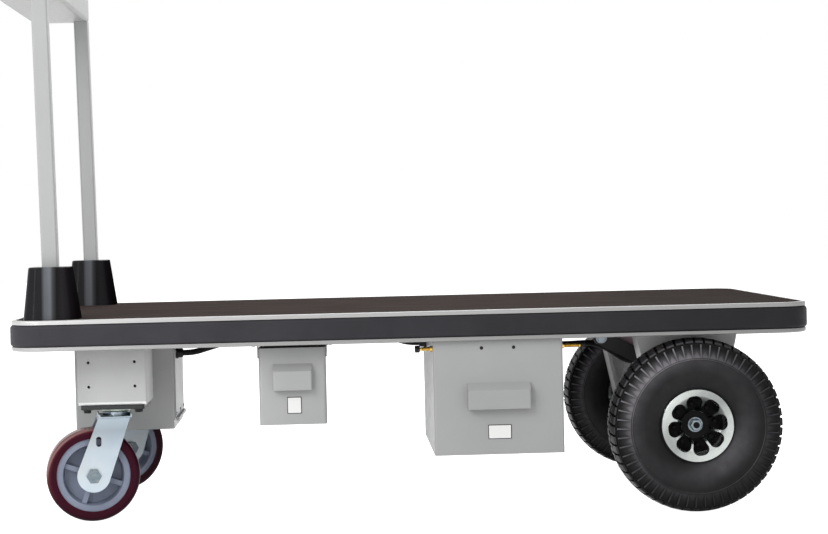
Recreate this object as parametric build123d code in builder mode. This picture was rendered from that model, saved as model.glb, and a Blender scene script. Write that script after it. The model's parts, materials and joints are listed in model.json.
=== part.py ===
from build123d import *
import math
import os

# Electric platform cart: a flat deck on two swivel casters and two powered wheels,
# steered by a fixed handle with a console at the caster end.
# Millimetres. +X runs from the handle to the powered wheels, +Y to the left, +Z up.
# The origin is on the floor below the middle of the whole cart.
# "right" is the -Y side and "left" is the +Y side, seen by an operator facing +X.

os.makedirs("parts", exist_ok=True)

# General clearances
seat_gap = 0.2          # between pieces of one body that seat on each other
run_gap = 0.05          # radial clearance of a shaft in its bearing
SIDES = {"right": -1, "left": 1}

# Deck
deck_length = 1269.0
deck_width = 650.0
deck_corner_r = 50.0
trim_height = 48.5
trim_width = 7.5        # lip seen from above
trim_lip_top = 6.8
trim_lip_bottom = 6.4
trim_edge_r = 2.5       # rounding of the lips' outer edges
groove_depth = 5.0      # groove that holds the bumper strip
bumper_proud = 2.0
bumper_edge_r = 6.0
mat_thickness = 3.0
board_thickness = 18.0

# Powered wheels
drive_tyre_r = 138.5
drive_tyre_width = 86.0
drive_from_side = 25.0      # middle of the tyre, from the deck's side
tyre_wall = 7.0
bead_r = 53.0
bead_half = 27.0
shoulder_r = 112.0
shoulder_half = 39.0
crown_edge_r = 135.0
crown_edge_half = 32.0
bead_lip = 1.0          # how far the tyre stands above the rim's flange
rim_flange_r = 58.0
rim_flange_thickness = 3.0
rim_flange_edge_r = 1.2
rim_wall = 3.5
rim_ring_r = 47.5       # inside of the polished ring
rim_ring_overlap = 1.5
rim_root_r = 22.5       # the spokes curve back to this radius, as deep as they run in
rim_root_thickness = 6.0
spoke_depth = 7.0
spoke_count = 8
spoke_turn = 30.0       # first spoke's angle, degrees
spoke_width = 3.6
spoke_foot_r = 10.0     # where a spoke meets the ring
spoke_root_r = 1.5
hub_cap_thickness = 2.0
hub_drum_r = 46.0
hub_drum_width = 25.0
half_shaft_r = 12.0
shaft_end_r = 5.0
shaft_end_length = 14.0
shaft_play = 4.0        # left free at the half shaft's inner end
axle_from_end = 187.0   # from the deck's end
tyre_to_deck = 5.2      # free height above the tyres

# Places that follow
drive_track_half = deck_width / 2 - drive_from_side
axle_x = deck_length / 2 - axle_from_end
axle_z = drive_tyre_r
deck_under = 2 * drive_tyre_r + tyre_to_deck
deck_top = deck_under + trim_height
board_top = deck_top - mat_thickness

# Swivel casters
caster_wheel_r = 75.0
caster_tread_half = 24.0
caster_tread_edge_r = 8.0
caster_core_r = 59.0
caster_recess_r = 49.0
caster_rim_half = 22.0
caster_web_half = 4.0
caster_hub_r = 17.0
caster_hub_half = 29.0
caster_rib_count = 4
caster_rib_half = 17.0
caster_rib_thickness = 8.0
caster_rib_turn = 70.0      # first rib's angle, degrees
caster_draft = 3.0          # slope of the recess at the hub and at the rim
caster_bolt_r = 6.0
caster_bolt_hex = 21.0      # across flats
caster_bolt_head = 8.0
caster_trail = 40.0
caster_from_end = 153.5     # swivel axis, from the deck's end
caster_from_side = 123.0
caster_turn = {"right": 9.0, "left": 33.0}      # how far each fork is turned at rest
caster_plate_length = 102.0
caster_plate_width = 114.0
caster_plate_thickness = 6.0
caster_plate_corner_r = 6.0
race_r = 24.0
race_height = 7.0
race_edge_r = 2.5
race_gap = 0.3
lower_race_r = 22.0
lower_race_height = 6.0
kingpin_r = 6.0
kingpin_nut_r = 10.0
kingpin_nut_height = 7.0
fork_inside = 60.0
fork_thickness = 5.0
fork_front = 19.0           # ahead of the swivel axis
fork_back = 30.0            # behind it, at the top
fork_end_r = 26.5
fork_slot_length = 16.0
fork_slot_width = 8.5
fork_slot_back = 31.0
fork_slot_up = 55.0         # above the axle
fork_free = 14.7            # between the wheel and the fork's top
dish_thickness = 2.5        # pressed plate on the fork's top
dish_front = 23.0
dish_side = 1.0             # past the fork's faces
dish_lip = 4.0              # its ends turn up by this
dish_edge_r = 1.0

# Places that follow
caster_x = caster_from_end - deck_length / 2
caster_half_track = deck_width / 2 - caster_from_side
fork_under = 2 * caster_wheel_r + fork_free
fork_top = fork_under + fork_thickness + lower_race_height
race_low = fork_top + race_gap
plate_low = race_low + race_height
caster_height = plate_low + caster_plate_thickness

# Boxes that carry the casters
caster_box_length = 111.0
caster_box_wall = 4.0
caster_box_floor = 6.0
caster_box_corner_r = 3.0
caster_box_fold_r = 8.0     # rolled bottom edges
box_hole_r = 2.25
box_hole_spacing_x = 73.5
box_hole_spacing_z = 39.0
box_hole_drop = 43.0        # pattern's centre below the deck

# Steel frame below the board
rail_width = 50.0
rail_from_side = 95.0
rail_wall = 3.0
rail_corner_r = 5.0
cross_width = 30.0
cross_from_end = 89.5
gusset_thickness = 6.0
cross_from_caster = 70.0
cross_from_charger = 68.5   # either side of the charger's middle
cross_from_battery = 88.0
cross_from_motor = 70.0
gusset_ahead = 119.5        # plate in front of the motor: its start, ahead of the axle
gusset_length = 150.0
gusset_height = 21.2        # at its start
gusset_slope = 27.0         # degrees, down towards the motor

# Handle
sleeve_base = 86.0
sleeve_top = 65.0
sleeve_height = 83.0
sleeve_base_r = 20.0
sleeve_top_r = 14.0
sleeve_edge_r = 3.0
handle_from_end = 64.2      # upright's axis at the deck's top
handle_from_side = 57.0
handle_lean = 0.85          # degrees, away from the deck
upright_size = 25.0
upright_wall = 2.0
upright_corner_r = 2.5

# Places that follow
rail_y = deck_width / 2 - rail_from_side
handle_x = handle_from_end - deck_length / 2
handle_y = deck_width / 2 - handle_from_side

# Console at the top of the uprights
console_bottom = 855.0
console_depth = 104.0
console_side_r = 6.0
console_height_deck = 128.0     # on the side that faces the deck
console_height_operator = 78.0  # on the operator's side
console_wall = 2.0
fascia_thickness = 3.0
bar_r = 13.0
bar_wall = 2.0
bar_reach = 56.0            # from the console's face to the bar's axis
bar_up = 46.0               # bar's axis above the console's bottom
bar_half = 225.0
bar_bend_r = 34.0
bar_flange_r = 20.0
bar_flange_thickness = 4.0
grip_r = 17.0
grip_length = 118.0
grip_centre = 112.0
throttle_r = 21.0
throttle_length = 24.0
throttle_lever = 34.0
throttle_lever_width = 13.0
throttle_lever_thickness = 7.0
throttle_gap = 1.0          # from the grip
lever_inset = 3.0
edge_r = 3.0                # soft edges of grips, lever and rocker

# Controls on the console's slope: place along Y
key_y = -165.0
gauge_y = -55.0
direction_y = 55.0
stop_y = 165.0
key_r = 11.0
key_collar = 4.0
key_height = 6.0
key_edge_r = 1.0
gauge_size = (62.0, 34.0)
gauge_corner_r = 4.0
gauge_height = 5.0
rocker_size = (22.0, 36.0)
rocker_height = 7.0
stop_base_r = 20.0
stop_base_height = 5.0
stop_stem_r = 11.0
stop_stem_height = 10.0
stop_head_r = 19.0
stop_head_height = 11.0
stop_head_edge_r = 4.0

# Boxes under the deck
controller_ahead = 85.0     # its lid's face, past the swivel axes
controller_from_swivel = 103.0      # either side, free between it and a swivel axis
controller_length = 164.0
controller_bottom = 133.0
controller_lid_margin = 12.0
controller_lid_thickness = 3.0
controller_lid_corner_r = 6.0
controller_lip_height = 5.5
controller_lip_out = 7.0
charger_x = -192.0          # from the middle of the deck
charger_length = 107.0
charger_from_side = 40.0
charger_depth = 135.0
charger_bottom = 153.5
charger_top_gap = 6.0
charger_tab_length = 14.0
charger_tab_width = 16.0
charger_tab_thickness = 2.0
charger_corner_r = 5.5
battery_from_axle = 313.5   # its middle, ahead of the powered axle
battery_length = 206.0
battery_from_side = 10.0
battery_depth = 328.0
battery_bottom = 100.7
box_wall = 2.0
box_corner_r = 3.0
battery_block_margin = 8.0
battery_block_height = 150.0
charger_hood_size = (62.0, 42.0, 12.0)      # length, height, depth
charger_hood_top = 251.0
battery_hood_size = (100.0, 41.5, 14.0)
battery_hood_top = 215.0
hood_slope = 0.28           # share of the hood's height that slopes
hood_wall = 1.5
hood_fold_r = 2.5

# Rear axle
hanger_top = 165.0          # plate's length along X at the deck
hanger_taper = 12.0         # degrees on each edge
hanger_thickness = 6.0
hanger_from_tyre = 54.0     # outer face, from the middle of the tyre
hanger_flange = 60.0        # folded inward on both edges and along the deck
hanger_flange_drop = 12.0   # how far above the axle the flanges end
hanger_boss_r = 36.0
hanger_boss_width = 24.0
axle_tube_r = 27.0
axle_tube_bore_r = 14.0
axle_tube_bore_depth = 50.0
gear_case_r = 66.0
gear_case_width = 84.0
gear_case_edge_r = 8.0
motor_ahead = 6.0           # of the axle
motor_up = 85.5             # above the axle
motor_y = 30.0              # where the motor meets the gear case
motor_r = 46.0
motor_length = 150.0
motor_band_r = 49.0
motor_band_width = 12.0
motor_end_r = 6.0
motor_case_r = 52.0
stay_thickness = 6.0
stay_width = 25.0
stay_foot_x = -130.0        # from the motor's axis
stay_foot_z = 46.0
cable_r = 5.0
cable_y = -90.0
cable_drop = 24.0           # cable's axis below the deck where it enters a box
cable_lead = 30.0           # straight run out of a box
cable_slant = 45.0
cable_spacing = 40.0        # between the two on the charger

# Places that follow
hanger_outer_y = drive_track_half - hanger_from_tyre
motor_x = axle_x + motor_ahead
motor_z = axle_z + motor_up
motor_tail_y = motor_y - motor_length
controller_front = caster_x + controller_ahead
controller_half = caster_half_track - controller_from_swivel
charger_face_y = charger_from_side - deck_width / 2
battery_x = axle_x - battery_from_axle
battery_face_y = battery_from_side - deck_width / 2
gusset_start = axle_x - gusset_ahead
gusset_low = deck_under - gusset_height
cross_x = (
    cross_from_end - deck_length / 2, caster_x + cross_from_caster,
    charger_x - cross_from_charger, charger_x + cross_from_charger,
    battery_x - cross_from_battery, battery_x + cross_from_battery,
    motor_x - cross_from_motor, deck_length / 2 - cross_from_end,
)

# How far the handle reaches past the deck sets where the whole cart's middle is
lean = math.tan(math.radians(handle_lean))
handle_drop = lean * (console_bottom - deck_top)
console_deck_face = handle_x - handle_drop + upright_size / 2
console_operator_face = console_deck_face - console_depth
bar_x = console_operator_face - bar_reach
reach_handle = -(bar_x - grip_r)
reach_deck = deck_length / 2 + bumper_proud
deck_x = (reach_handle - reach_deck) / 2


def shift(x):
    """Turn a place along the deck, from its middle, into the cart's own X."""
    return deck_x + x


def finish(name, part):
    """Label a piece and write it to its own file."""
    part.label = name
    export_step(part, f"parts/{name}.step")


def deck_outline(inset, mode=Mode.ADD):
    """The deck's rounded outline, moved in by inset."""
    return RectangleRounded(
        deck_length - 2 * inset, deck_width - 2 * inset, max(deck_corner_r - inset, 1.0),
        mode=mode,
    )


def ends(part, axis):
    """The edges round a part's lowest and highest face along an axis."""
    faces = part.faces().filter_by(axis).sort_by(axis)
    return faces[0].edges() + faces[-1].edges()


# The deck: a board and its mat in a trim with a bumper strip round it
def make_deck():
    middle = (shift(0), 0)
    sleeve_hole = sleeve_base + 2 * seat_gap

    with BuildPart() as deck_board:
        with BuildSketch(Plane.XY.offset(board_top - board_thickness)):
            with Locations(middle):
                deck_outline(trim_width + seat_gap)
        extrude(amount=board_thickness)
    finish("deck_board", deck_board.part)

    with BuildPart() as deck_mat:
        with BuildSketch(Plane.XY.offset(board_top)):
            with Locations(middle):
                deck_outline(trim_width + seat_gap)
            with Locations(*[(upright_x(deck_top), side * handle_y) for side in SIDES.values()]):
                RectangleRounded(
                    sleeve_hole, sleeve_hole, sleeve_base_r + seat_gap, mode=Mode.SUBTRACT,
                )
        extrude(amount=mat_thickness)
    finish("deck_mat", deck_mat.part)

    groove_low = deck_under + trim_lip_bottom
    groove_high = deck_top - trim_lip_top
    with BuildPart() as edge_trim:
        with BuildSketch(Plane.XY.offset(deck_under)):
            with Locations(middle):
                deck_outline(0)
                deck_outline(trim_width, Mode.SUBTRACT)
        extrude(amount=trim_height)
        with BuildSketch(Plane.XY.offset(groove_low)):
            with Locations(middle):
                deck_outline(-bumper_proud)
                deck_outline(groove_depth, Mode.SUBTRACT)
        extrude(amount=groove_high - groove_low, mode=Mode.SUBTRACT)
        lips = edge_trim.faces().filter_by(Axis.Z).sort_by(Axis.Z)
        fillet([lips[0].outer_wire().edges(), lips[-1].outer_wire().edges()], radius=trim_edge_r)
    finish("edge_trim", edge_trim.part)

    strip_low = groove_low + seat_gap
    strip_height = groove_high - groove_low - 2 * seat_gap
    with BuildPart() as edge_bumper:
        with BuildSketch(Plane.XY.offset(strip_low)):
            with Locations(middle):
                deck_outline(-bumper_proud)
        extrude(amount=strip_height)
        fillet(ends(edge_bumper, Axis.Z), radius=bumper_edge_r)
        with BuildSketch(Plane.XY.offset(strip_low)):
            with Locations(middle):
                deck_outline(groove_depth - seat_gap)
        extrude(amount=strip_height, mode=Mode.SUBTRACT)
    finish("edge_bumper", edge_bumper.part)


# The frame: two rails along the deck and short tubes across, all under the board
def make_frame():
    frame_height = trim_height - mat_thickness - board_thickness
    inside = deck_length / 2 - trim_width - seat_gap
    side = deck_width / 2 - trim_width - seat_gap

    with BuildPart() as frame_rails:
        for y in (-rail_y, rail_y):
            with BuildSketch(Plane.YZ.offset(shift(-inside))):
                with Locations((y, deck_under + frame_height / 2)):
                    RectangleRounded(rail_width, frame_height, rail_corner_r)
                    Rectangle(
                        rail_width - 2 * rail_wall, frame_height - 2 * rail_wall,
                        mode=Mode.SUBTRACT,
                    )
            extrude(amount=2 * inside)
    finish("frame_rails", frame_rails.part)

    # Each row: middle along Y, and length along Y
    rail_inner = rail_y - rail_width / 2
    rail_outer = rail_y + rail_width / 2
    outer_length = side - rail_outer
    spans = [
        (0.0, 2 * rail_inner),
        (rail_outer + outer_length / 2, outer_length),
        (-rail_outer - outer_length / 2, outer_length),
    ]
    with BuildPart() as frame_crossmembers:
        for x in cross_x:
            for y, length in spans:
                with BuildSketch(Plane.XZ.offset(-(y + length / 2))):
                    with Locations((shift(x), deck_under + frame_height / 2)):
                        Rectangle(cross_width, frame_height)
                        Rectangle(
                            cross_width - 2 * rail_wall, frame_height - 2 * rail_wall,
                            mode=Mode.SUBTRACT,
                        )
                extrude(amount=length)
        drop = math.tan(math.radians(gusset_slope)) * gusset_length
        start = shift(gusset_start)
        with BuildSketch(Plane.XZ.offset(seat_gap - motor_tail_y)):
            with BuildLine():
                Polyline(
                    (start, deck_under), (start + gusset_length, deck_under),
                    (start + gusset_length, gusset_low - drop), (start, gusset_low), close=True,
                )
            make_face()
        extrude(amount=gusset_thickness)
    finish("frame_crossmembers", frame_crossmembers.part)


# The handle: sleeves on the deck, leaning uprights, and the console on top
def upright_x(z):
    """X of an upright's axis at height z."""
    return shift(handle_x - lean * (z - deck_top))


def make_uprights():
    """The sleeves and uprights stand on the board, in holes in the mat."""
    top = deck_top + sleeve_height
    tube_length = (console_bottom - board_top) / math.cos(math.radians(handle_lean))
    along = Vector(upright_x(console_bottom) - upright_x(board_top), 0, console_bottom - board_top)
    hole = upright_size + 2 * seat_gap
    for name, side in SIDES.items():
        foot = (upright_x(board_top), side * handle_y)

        with BuildPart() as sleeve:
            with BuildSketch(Plane.XY.offset(deck_top)) as base:
                with Locations((upright_x(deck_top), side * handle_y)):
                    RectangleRounded(sleeve_base, sleeve_base, sleeve_base_r)
            with BuildSketch(Plane.XY.offset(top)):
                with Locations((upright_x(top), side * handle_y)):
                    RectangleRounded(sleeve_top, sleeve_top, sleeve_top_r)
            loft()
            fillet(sleeve.faces().sort_by(Axis.Z)[-1].edges(), radius=sleeve_edge_r)
            extrude(base.sketch, amount=-mat_thickness)
            with BuildSketch(Plane.XY.offset(board_top)):
                with Locations(foot):
                    RectangleRounded(hole, hole, upright_corner_r)
            extrude(amount=tube_length, dir=along.normalized(), mode=Mode.SUBTRACT)
        finish(f"sleeve_{name}", sleeve.part)

        with BuildPart() as upright:
            with BuildSketch(Plane.XY.offset(board_top)):
                with Locations(foot):
                    RectangleRounded(upright_size, upright_size, upright_corner_r)
                    Rectangle(
                        upright_size - 2 * upright_wall, upright_size - 2 * upright_wall,
                        mode=Mode.SUBTRACT,
                    )
            extrude(amount=tube_length, dir=along.normalized())
        finish(f"upright_{name}", upright.part)


def make_console():
    half = handle_y + upright_size / 2
    deck_face = shift(console_deck_face)
    back_face = shift(console_operator_face)
    high = console_bottom + console_height_deck
    low = console_bottom + console_height_operator
    slope = math.atan2(high - low, console_depth)

    with BuildPart() as console_housing:
        with BuildSketch(Plane.XZ.offset(-half)):
            with BuildLine():
                Polyline(
                    (deck_face, console_bottom), (deck_face, high), (back_face, low),
                    (back_face, console_bottom), close=True,
                )
            make_face()
            fillet(vertices().group_by(Axis.Y)[0], radius=console_side_r)
        extrude(amount=2 * half)
        slope_face = console_housing.faces().filter_by(lambda f: f.normal_at().Z > 0.5)
        offset(amount=-console_wall, openings=slope_face.sort_by(SortBy.AREA)[-1])
    finish("console_housing", console_housing.part)

    # The slope's own frame: x runs along the cart's Y, z out of the slope
    middle_x = (deck_face + back_face) / 2
    slope_plane = Plane(
        origin=(middle_x, 0, (high + low) / 2), x_dir=(0, 1, 0),
        z_dir=(-math.sin(slope), 0, math.cos(slope)),
    )
    slope_length = math.hypot(console_depth, high - low)
    holes = [(key_y, key_r), (stop_y, stop_stem_r)]
    with BuildPart() as console_fascia:
        with BuildSketch(slope_plane):
            RectangleRounded(2 * half, slope_length, console_side_r)
            for y, radius in holes:
                with Locations((y, 0)):
                    Circle(radius + seat_gap, mode=Mode.SUBTRACT)
        extrude(amount=fascia_thickness)
    finish("console_fascia", console_fascia.part)

    face = slope_plane.offset(fascia_thickness)
    with BuildPart() as key_switch:
        with BuildSketch(slope_plane):
            with Locations((key_y, 0)):
                Circle(key_r)
        extrude(amount=fascia_thickness + key_height)
        with BuildSketch(face):
            with Locations((key_y, 0)):
                Circle(key_r + key_collar)
        extrude(amount=key_height / 2)
        fillet(key_switch.faces().sort_by(Axis.Z)[-1].edges(), radius=key_edge_r)
    finish("key_switch", key_switch.part)

    with BuildPart() as battery_gauge:
        with BuildSketch(face):
            with Locations((gauge_y, 0)):
                RectangleRounded(*gauge_size, gauge_corner_r)
        extrude(amount=gauge_height)
    finish("battery_gauge", battery_gauge.part)

    with BuildPart() as direction_switch:
        with BuildSketch(face):
            with Locations((direction_y, 0)):
                RectangleRounded(*rocker_size, edge_r)
        extrude(amount=rocker_height)
    finish("direction_switch", direction_switch.part)

    with BuildPart() as stop_button:
        with BuildSketch(slope_plane):
            with Locations((stop_y, 0)):
                Circle(stop_stem_r)
        extrude(amount=fascia_thickness + stop_stem_height)
        with BuildSketch(face):
            with Locations((stop_y, 0)):
                Circle(stop_base_r)
        extrude(amount=stop_base_height)
        with BuildSketch(face.offset(stop_stem_height)):
            with Locations((stop_y, 0)):
                Circle(stop_head_r)
        extrude(amount=stop_head_height)
        fillet(stop_button.faces().sort_by(Axis.Z)[-1].edges(), radius=stop_head_edge_r)
    finish("stop_button", stop_button.part)


def make_handlebar():
    face = shift(console_operator_face)
    axis_x = shift(bar_x)
    z = console_bottom + bar_up
    with BuildPart() as handlebar:
        with BuildLine() as route:
            FilletPolyline(
                (face, -bar_half, z), (axis_x, -bar_half, z),
                (axis_x, bar_half, z), (face, bar_half, z),
                radius=bar_bend_r,
            )
        with BuildSketch(Plane(origin=(face, -bar_half, z), x_dir=(0, 1, 0), z_dir=(-1, 0, 0))):
            Circle(bar_r)
            Circle(bar_r - bar_wall, mode=Mode.SUBTRACT)
        sweep(path=route.wires()[0])
        for y in (-bar_half, bar_half):
            with BuildSketch(Plane(origin=(face, y, z), x_dir=(0, 1, 0), z_dir=(-1, 0, 0))):
                Circle(bar_flange_r)
                Circle(bar_r, mode=Mode.SUBTRACT)
            extrude(amount=bar_flange_thickness)
    finish("handlebar", handlebar.part)

    with BuildPart() as handlebar_grips:
        for y in (-grip_centre, grip_centre):
            with BuildSketch(Plane.XZ.offset(-(y + grip_length / 2))):
                with Locations((axis_x, z)):
                    Circle(grip_r)
            extrude(amount=grip_length)
        fillet(handlebar_grips.edges().filter_by(GeomType.CIRCLE), radius=edge_r)
        for y in (-grip_centre, grip_centre):
            with BuildSketch(Plane.XZ.offset(-(y + grip_length / 2))):
                with Locations((axis_x, z)):
                    Circle(bar_r + seat_gap)
            extrude(amount=grip_length, mode=Mode.SUBTRACT)
    finish("handlebar_grips", handlebar_grips.part)

    inner = -grip_centre + grip_length / 2 + throttle_gap
    with BuildPart() as throttle:
        with BuildSketch(Plane.XZ.offset(-(inner + throttle_length))):
            with Locations((axis_x, z)):
                Circle(throttle_r)
        extrude(amount=throttle_length)
        with BuildSketch(Plane.XZ.offset(-(inner + throttle_lever_width + lever_inset))):
            with Locations((axis_x + throttle_lever / 2, z + throttle_r - throttle_lever_thickness / 2)):
                RectangleRounded(throttle_lever, throttle_lever_thickness, edge_r)
        extrude(amount=throttle_lever_width)
        with BuildSketch(Plane.XZ.offset(-(inner + throttle_length))):
            with Locations((axis_x, z)):
                Circle(bar_r + seat_gap)
        extrude(amount=throttle_length, mode=Mode.SUBTRACT)
    finish("throttle", throttle.part)


# The casters: a box under the rail, a plate with its kingpin, and a turning fork
def make_casters():
    centre_x = shift(caster_x)
    box_height = deck_under - caster_height
    with BuildPart() as caster_boxes:
        for side in SIDES.values():
            y = side * caster_half_track
            outer_face = side * (caster_half_track + caster_plate_width / 2)
            with BuildPart(mode=Mode.PRIVATE) as channel:
                with BuildSketch(Plane.YZ.offset(centre_x - caster_box_length / 2)) as section:
                    with Locations((y, (caster_height + deck_under) / 2)):
                        Rectangle(caster_plate_width, box_height)
                    fillet(section.vertices().group_by(Axis.Y)[0], radius=caster_box_fold_r)
                extrude(amount=caster_box_length)
                fillet(
                    ends(channel, Axis.X).filter_by(lambda e: e.center().Z < deck_under - seat_gap),
                    radius=caster_box_corner_r,
                )
            add(channel.part)
            with BuildSketch(Plane.XY.offset(caster_height + caster_box_floor)):
                with Locations((centre_x, y)):
                    Rectangle(
                        caster_box_length - 2 * caster_box_wall,
                        caster_plate_width - 2 * caster_box_wall,
                    )
            extrude(amount=box_height, mode=Mode.SUBTRACT)
            hole_plane = Plane(
                origin=(centre_x, outer_face, deck_under - box_hole_drop),
                x_dir=(1, 0, 0), z_dir=(0, side, 0),
            )
            with BuildSketch(hole_plane):
                with GridLocations(box_hole_spacing_x, box_hole_spacing_z, 2, 2):
                    Circle(box_hole_r)
            extrude(amount=-caster_box_wall, mode=Mode.SUBTRACT)
    finish("caster_boxes", caster_boxes.part)

    with BuildPart() as caster_plates:
        for side in SIDES.values():
            spot = (centre_x, side * caster_half_track)
            with BuildSketch(Plane.XY.offset(plate_low)):
                with Locations(spot):
                    RectangleRounded(caster_plate_length, caster_plate_width, caster_plate_corner_r)
            extrude(amount=caster_plate_thickness)
            with BuildPart(mode=Mode.PRIVATE) as race:
                with BuildSketch(Plane.XY.offset(race_low)):
                    with Locations(spot):
                        Circle(race_r)
                extrude(amount=race_height)
                fillet(race.edges().sort_by(Axis.Z)[0], radius=race_edge_r)
            add(race.part)
            nut_high = fork_under - race_gap
            with BuildSketch(Plane.XY.offset(nut_high - kingpin_nut_height)):
                with Locations(spot):
                    Circle(kingpin_r)
            extrude(amount=race_low - nut_high + kingpin_nut_height)
            with BuildSketch(Plane.XY.offset(nut_high - kingpin_nut_height)):
                with Locations(spot):
                    RegularPolygon(kingpin_nut_r, 6)
            extrude(amount=kingpin_nut_height)
    finish("caster_plates", caster_plates.part)

    for name, side in SIDES.items():
        make_caster(name, centre_x, side * caster_half_track)


def make_caster(name, x, y):
    """One fork with its wheel. The fork's frame: x ahead, z along the axle."""
    turn = math.radians(caster_turn[name])
    ahead = (math.cos(turn), math.sin(turn), 0)
    along_axle = (math.sin(turn), -math.cos(turn), 0)
    fork_half = fork_inside / 2 + fork_thickness
    side_plane = Plane(origin=(x, y, 0), x_dir=ahead, z_dir=along_axle)
    yoke_top = fork_under + fork_thickness

    with BuildPart() as fork:
        with BuildSketch(side_plane.offset(-fork_half)):
            with BuildLine():
                Polyline(
                    (fork_front, yoke_top - fork_thickness), (fork_front, yoke_top),
                    (-fork_back, yoke_top), (-fork_back, yoke_top - fork_thickness),
                )
                CenterArc((-caster_trail, caster_wheel_r), fork_end_r, 0, 360)
            make_hull()
        extrude(amount=2 * fork_half)
        with BuildSketch(side_plane.offset(-fork_inside / 2)):
            with Locations((-caster_trail / 2, fork_under / 2)):
                Rectangle(4 * caster_trail, fork_under)
        extrude(amount=fork_inside, mode=Mode.SUBTRACT)
        dish_low = yoke_top - dish_thickness
        dish_high = yoke_top + dish_lip
        with BuildSketch(side_plane.offset(-fork_half - dish_side)) as dish:
            with BuildLine():
                Polyline(
                    (-fork_back, dish_high), (-fork_back, dish_low), (dish_front, dish_low),
                    (dish_front, dish_high), (dish_front - dish_thickness, dish_high),
                    (dish_front - dish_thickness, yoke_top), (dish_thickness - fork_back, yoke_top),
                    (dish_thickness - fork_back, dish_high), close=True,
                )
            make_face()
            fillet(dish.vertices(), radius=dish_edge_r)
        extrude(amount=2 * (fork_half + dish_side))
        with BuildSketch(Plane.XY.offset(yoke_top)):
            with Locations((x, y)):
                Circle(lower_race_r)
        extrude(amount=lower_race_height)
        with BuildSketch(Plane.XY.offset(fork_under)):
            with Locations((x, y)):
                Circle(kingpin_r + run_gap)
        extrude(amount=fork_top - fork_under, mode=Mode.SUBTRACT)
        with BuildSketch(side_plane.offset(-fork_half)):
            with Locations((-caster_trail, caster_wheel_r)):
                Circle(caster_bolt_r + seat_gap)
            with Locations((-fork_slot_back, caster_wheel_r + fork_slot_up)):
                SlotOverall(fork_slot_length, fork_slot_width, rotation=90)
        extrude(amount=2 * fork_half, mode=Mode.SUBTRACT)
    finish(f"caster_fork_{name}", fork.part)

    with BuildPart() as axle:
        with BuildSketch(side_plane.offset(-fork_half - caster_bolt_head)):
            with Locations((-caster_trail, caster_wheel_r)):
                Circle(caster_bolt_r)
        extrude(amount=2 * (fork_half + caster_bolt_head))
        for z in (-fork_half - caster_bolt_head, fork_half):
            with BuildSketch(side_plane.offset(z)):
                with Locations((-caster_trail, caster_wheel_r)):
                    RegularPolygon(caster_bolt_hex / 2, 6, major_radius=False)
            extrude(amount=caster_bolt_head)
    finish(f"caster_axle_{name}", axle.part)

    # The wheel's own frame: x along the axle, y outward from it
    centre = Vector(x, y, 0) - Vector(*ahead) * caster_trail + Vector(0, 0, caster_wheel_r)
    wheel_plane = Plane(origin=centre, x_dir=along_axle, z_dir=Vector(*along_axle).cross(Vector(0, 0, 1)))
    spin = Axis(centre, along_axle)
    bore = caster_bolt_r + run_gap
    with BuildPart() as core:
        with BuildSketch(wheel_plane):
            with BuildLine():
                Polyline(
                    (-caster_hub_half, bore), (-caster_hub_half, caster_hub_r),
                    (-caster_web_half, caster_hub_r + caster_draft),
                    (-caster_web_half, caster_recess_r - caster_draft),
                    (-caster_rim_half, caster_recess_r), (-caster_rim_half, caster_core_r),
                    (caster_rim_half, caster_core_r), (caster_rim_half, caster_recess_r),
                    (caster_web_half, caster_recess_r - caster_draft),
                    (caster_web_half, caster_hub_r + caster_draft),
                    (caster_hub_half, caster_hub_r), (caster_hub_half, bore), close=True,
                )
            make_face()
        revolve(axis=spin)
        face_plane = Plane(origin=centre, x_dir=ahead, z_dir=along_axle)
        rib_inner = caster_hub_r - caster_draft
        rib_length = caster_recess_r + caster_draft - rib_inner
        with BuildSketch(face_plane.offset(-caster_rib_half)):
            with PolarLocations(
                rib_inner + rib_length / 2, caster_rib_count, start_angle=caster_rib_turn,
            ):
                Rectangle(rib_length, caster_rib_thickness)
        extrude(amount=2 * caster_rib_half)
    finish(f"caster_core_{name}", core.part)

    with BuildPart() as tread:
        with BuildSketch(face_plane.offset(-caster_tread_half)):
            Circle(caster_wheel_r)
        extrude(amount=2 * caster_tread_half)
        fillet(tread.edges().filter_by(GeomType.CIRCLE), radius=caster_tread_edge_r)
        with BuildSketch(face_plane.offset(-caster_tread_half)):
            Circle(caster_core_r + seat_gap)
        extrude(amount=2 * caster_tread_half, mode=Mode.SUBTRACT)
    finish(f"caster_tread_{name}", tread.part)


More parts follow.
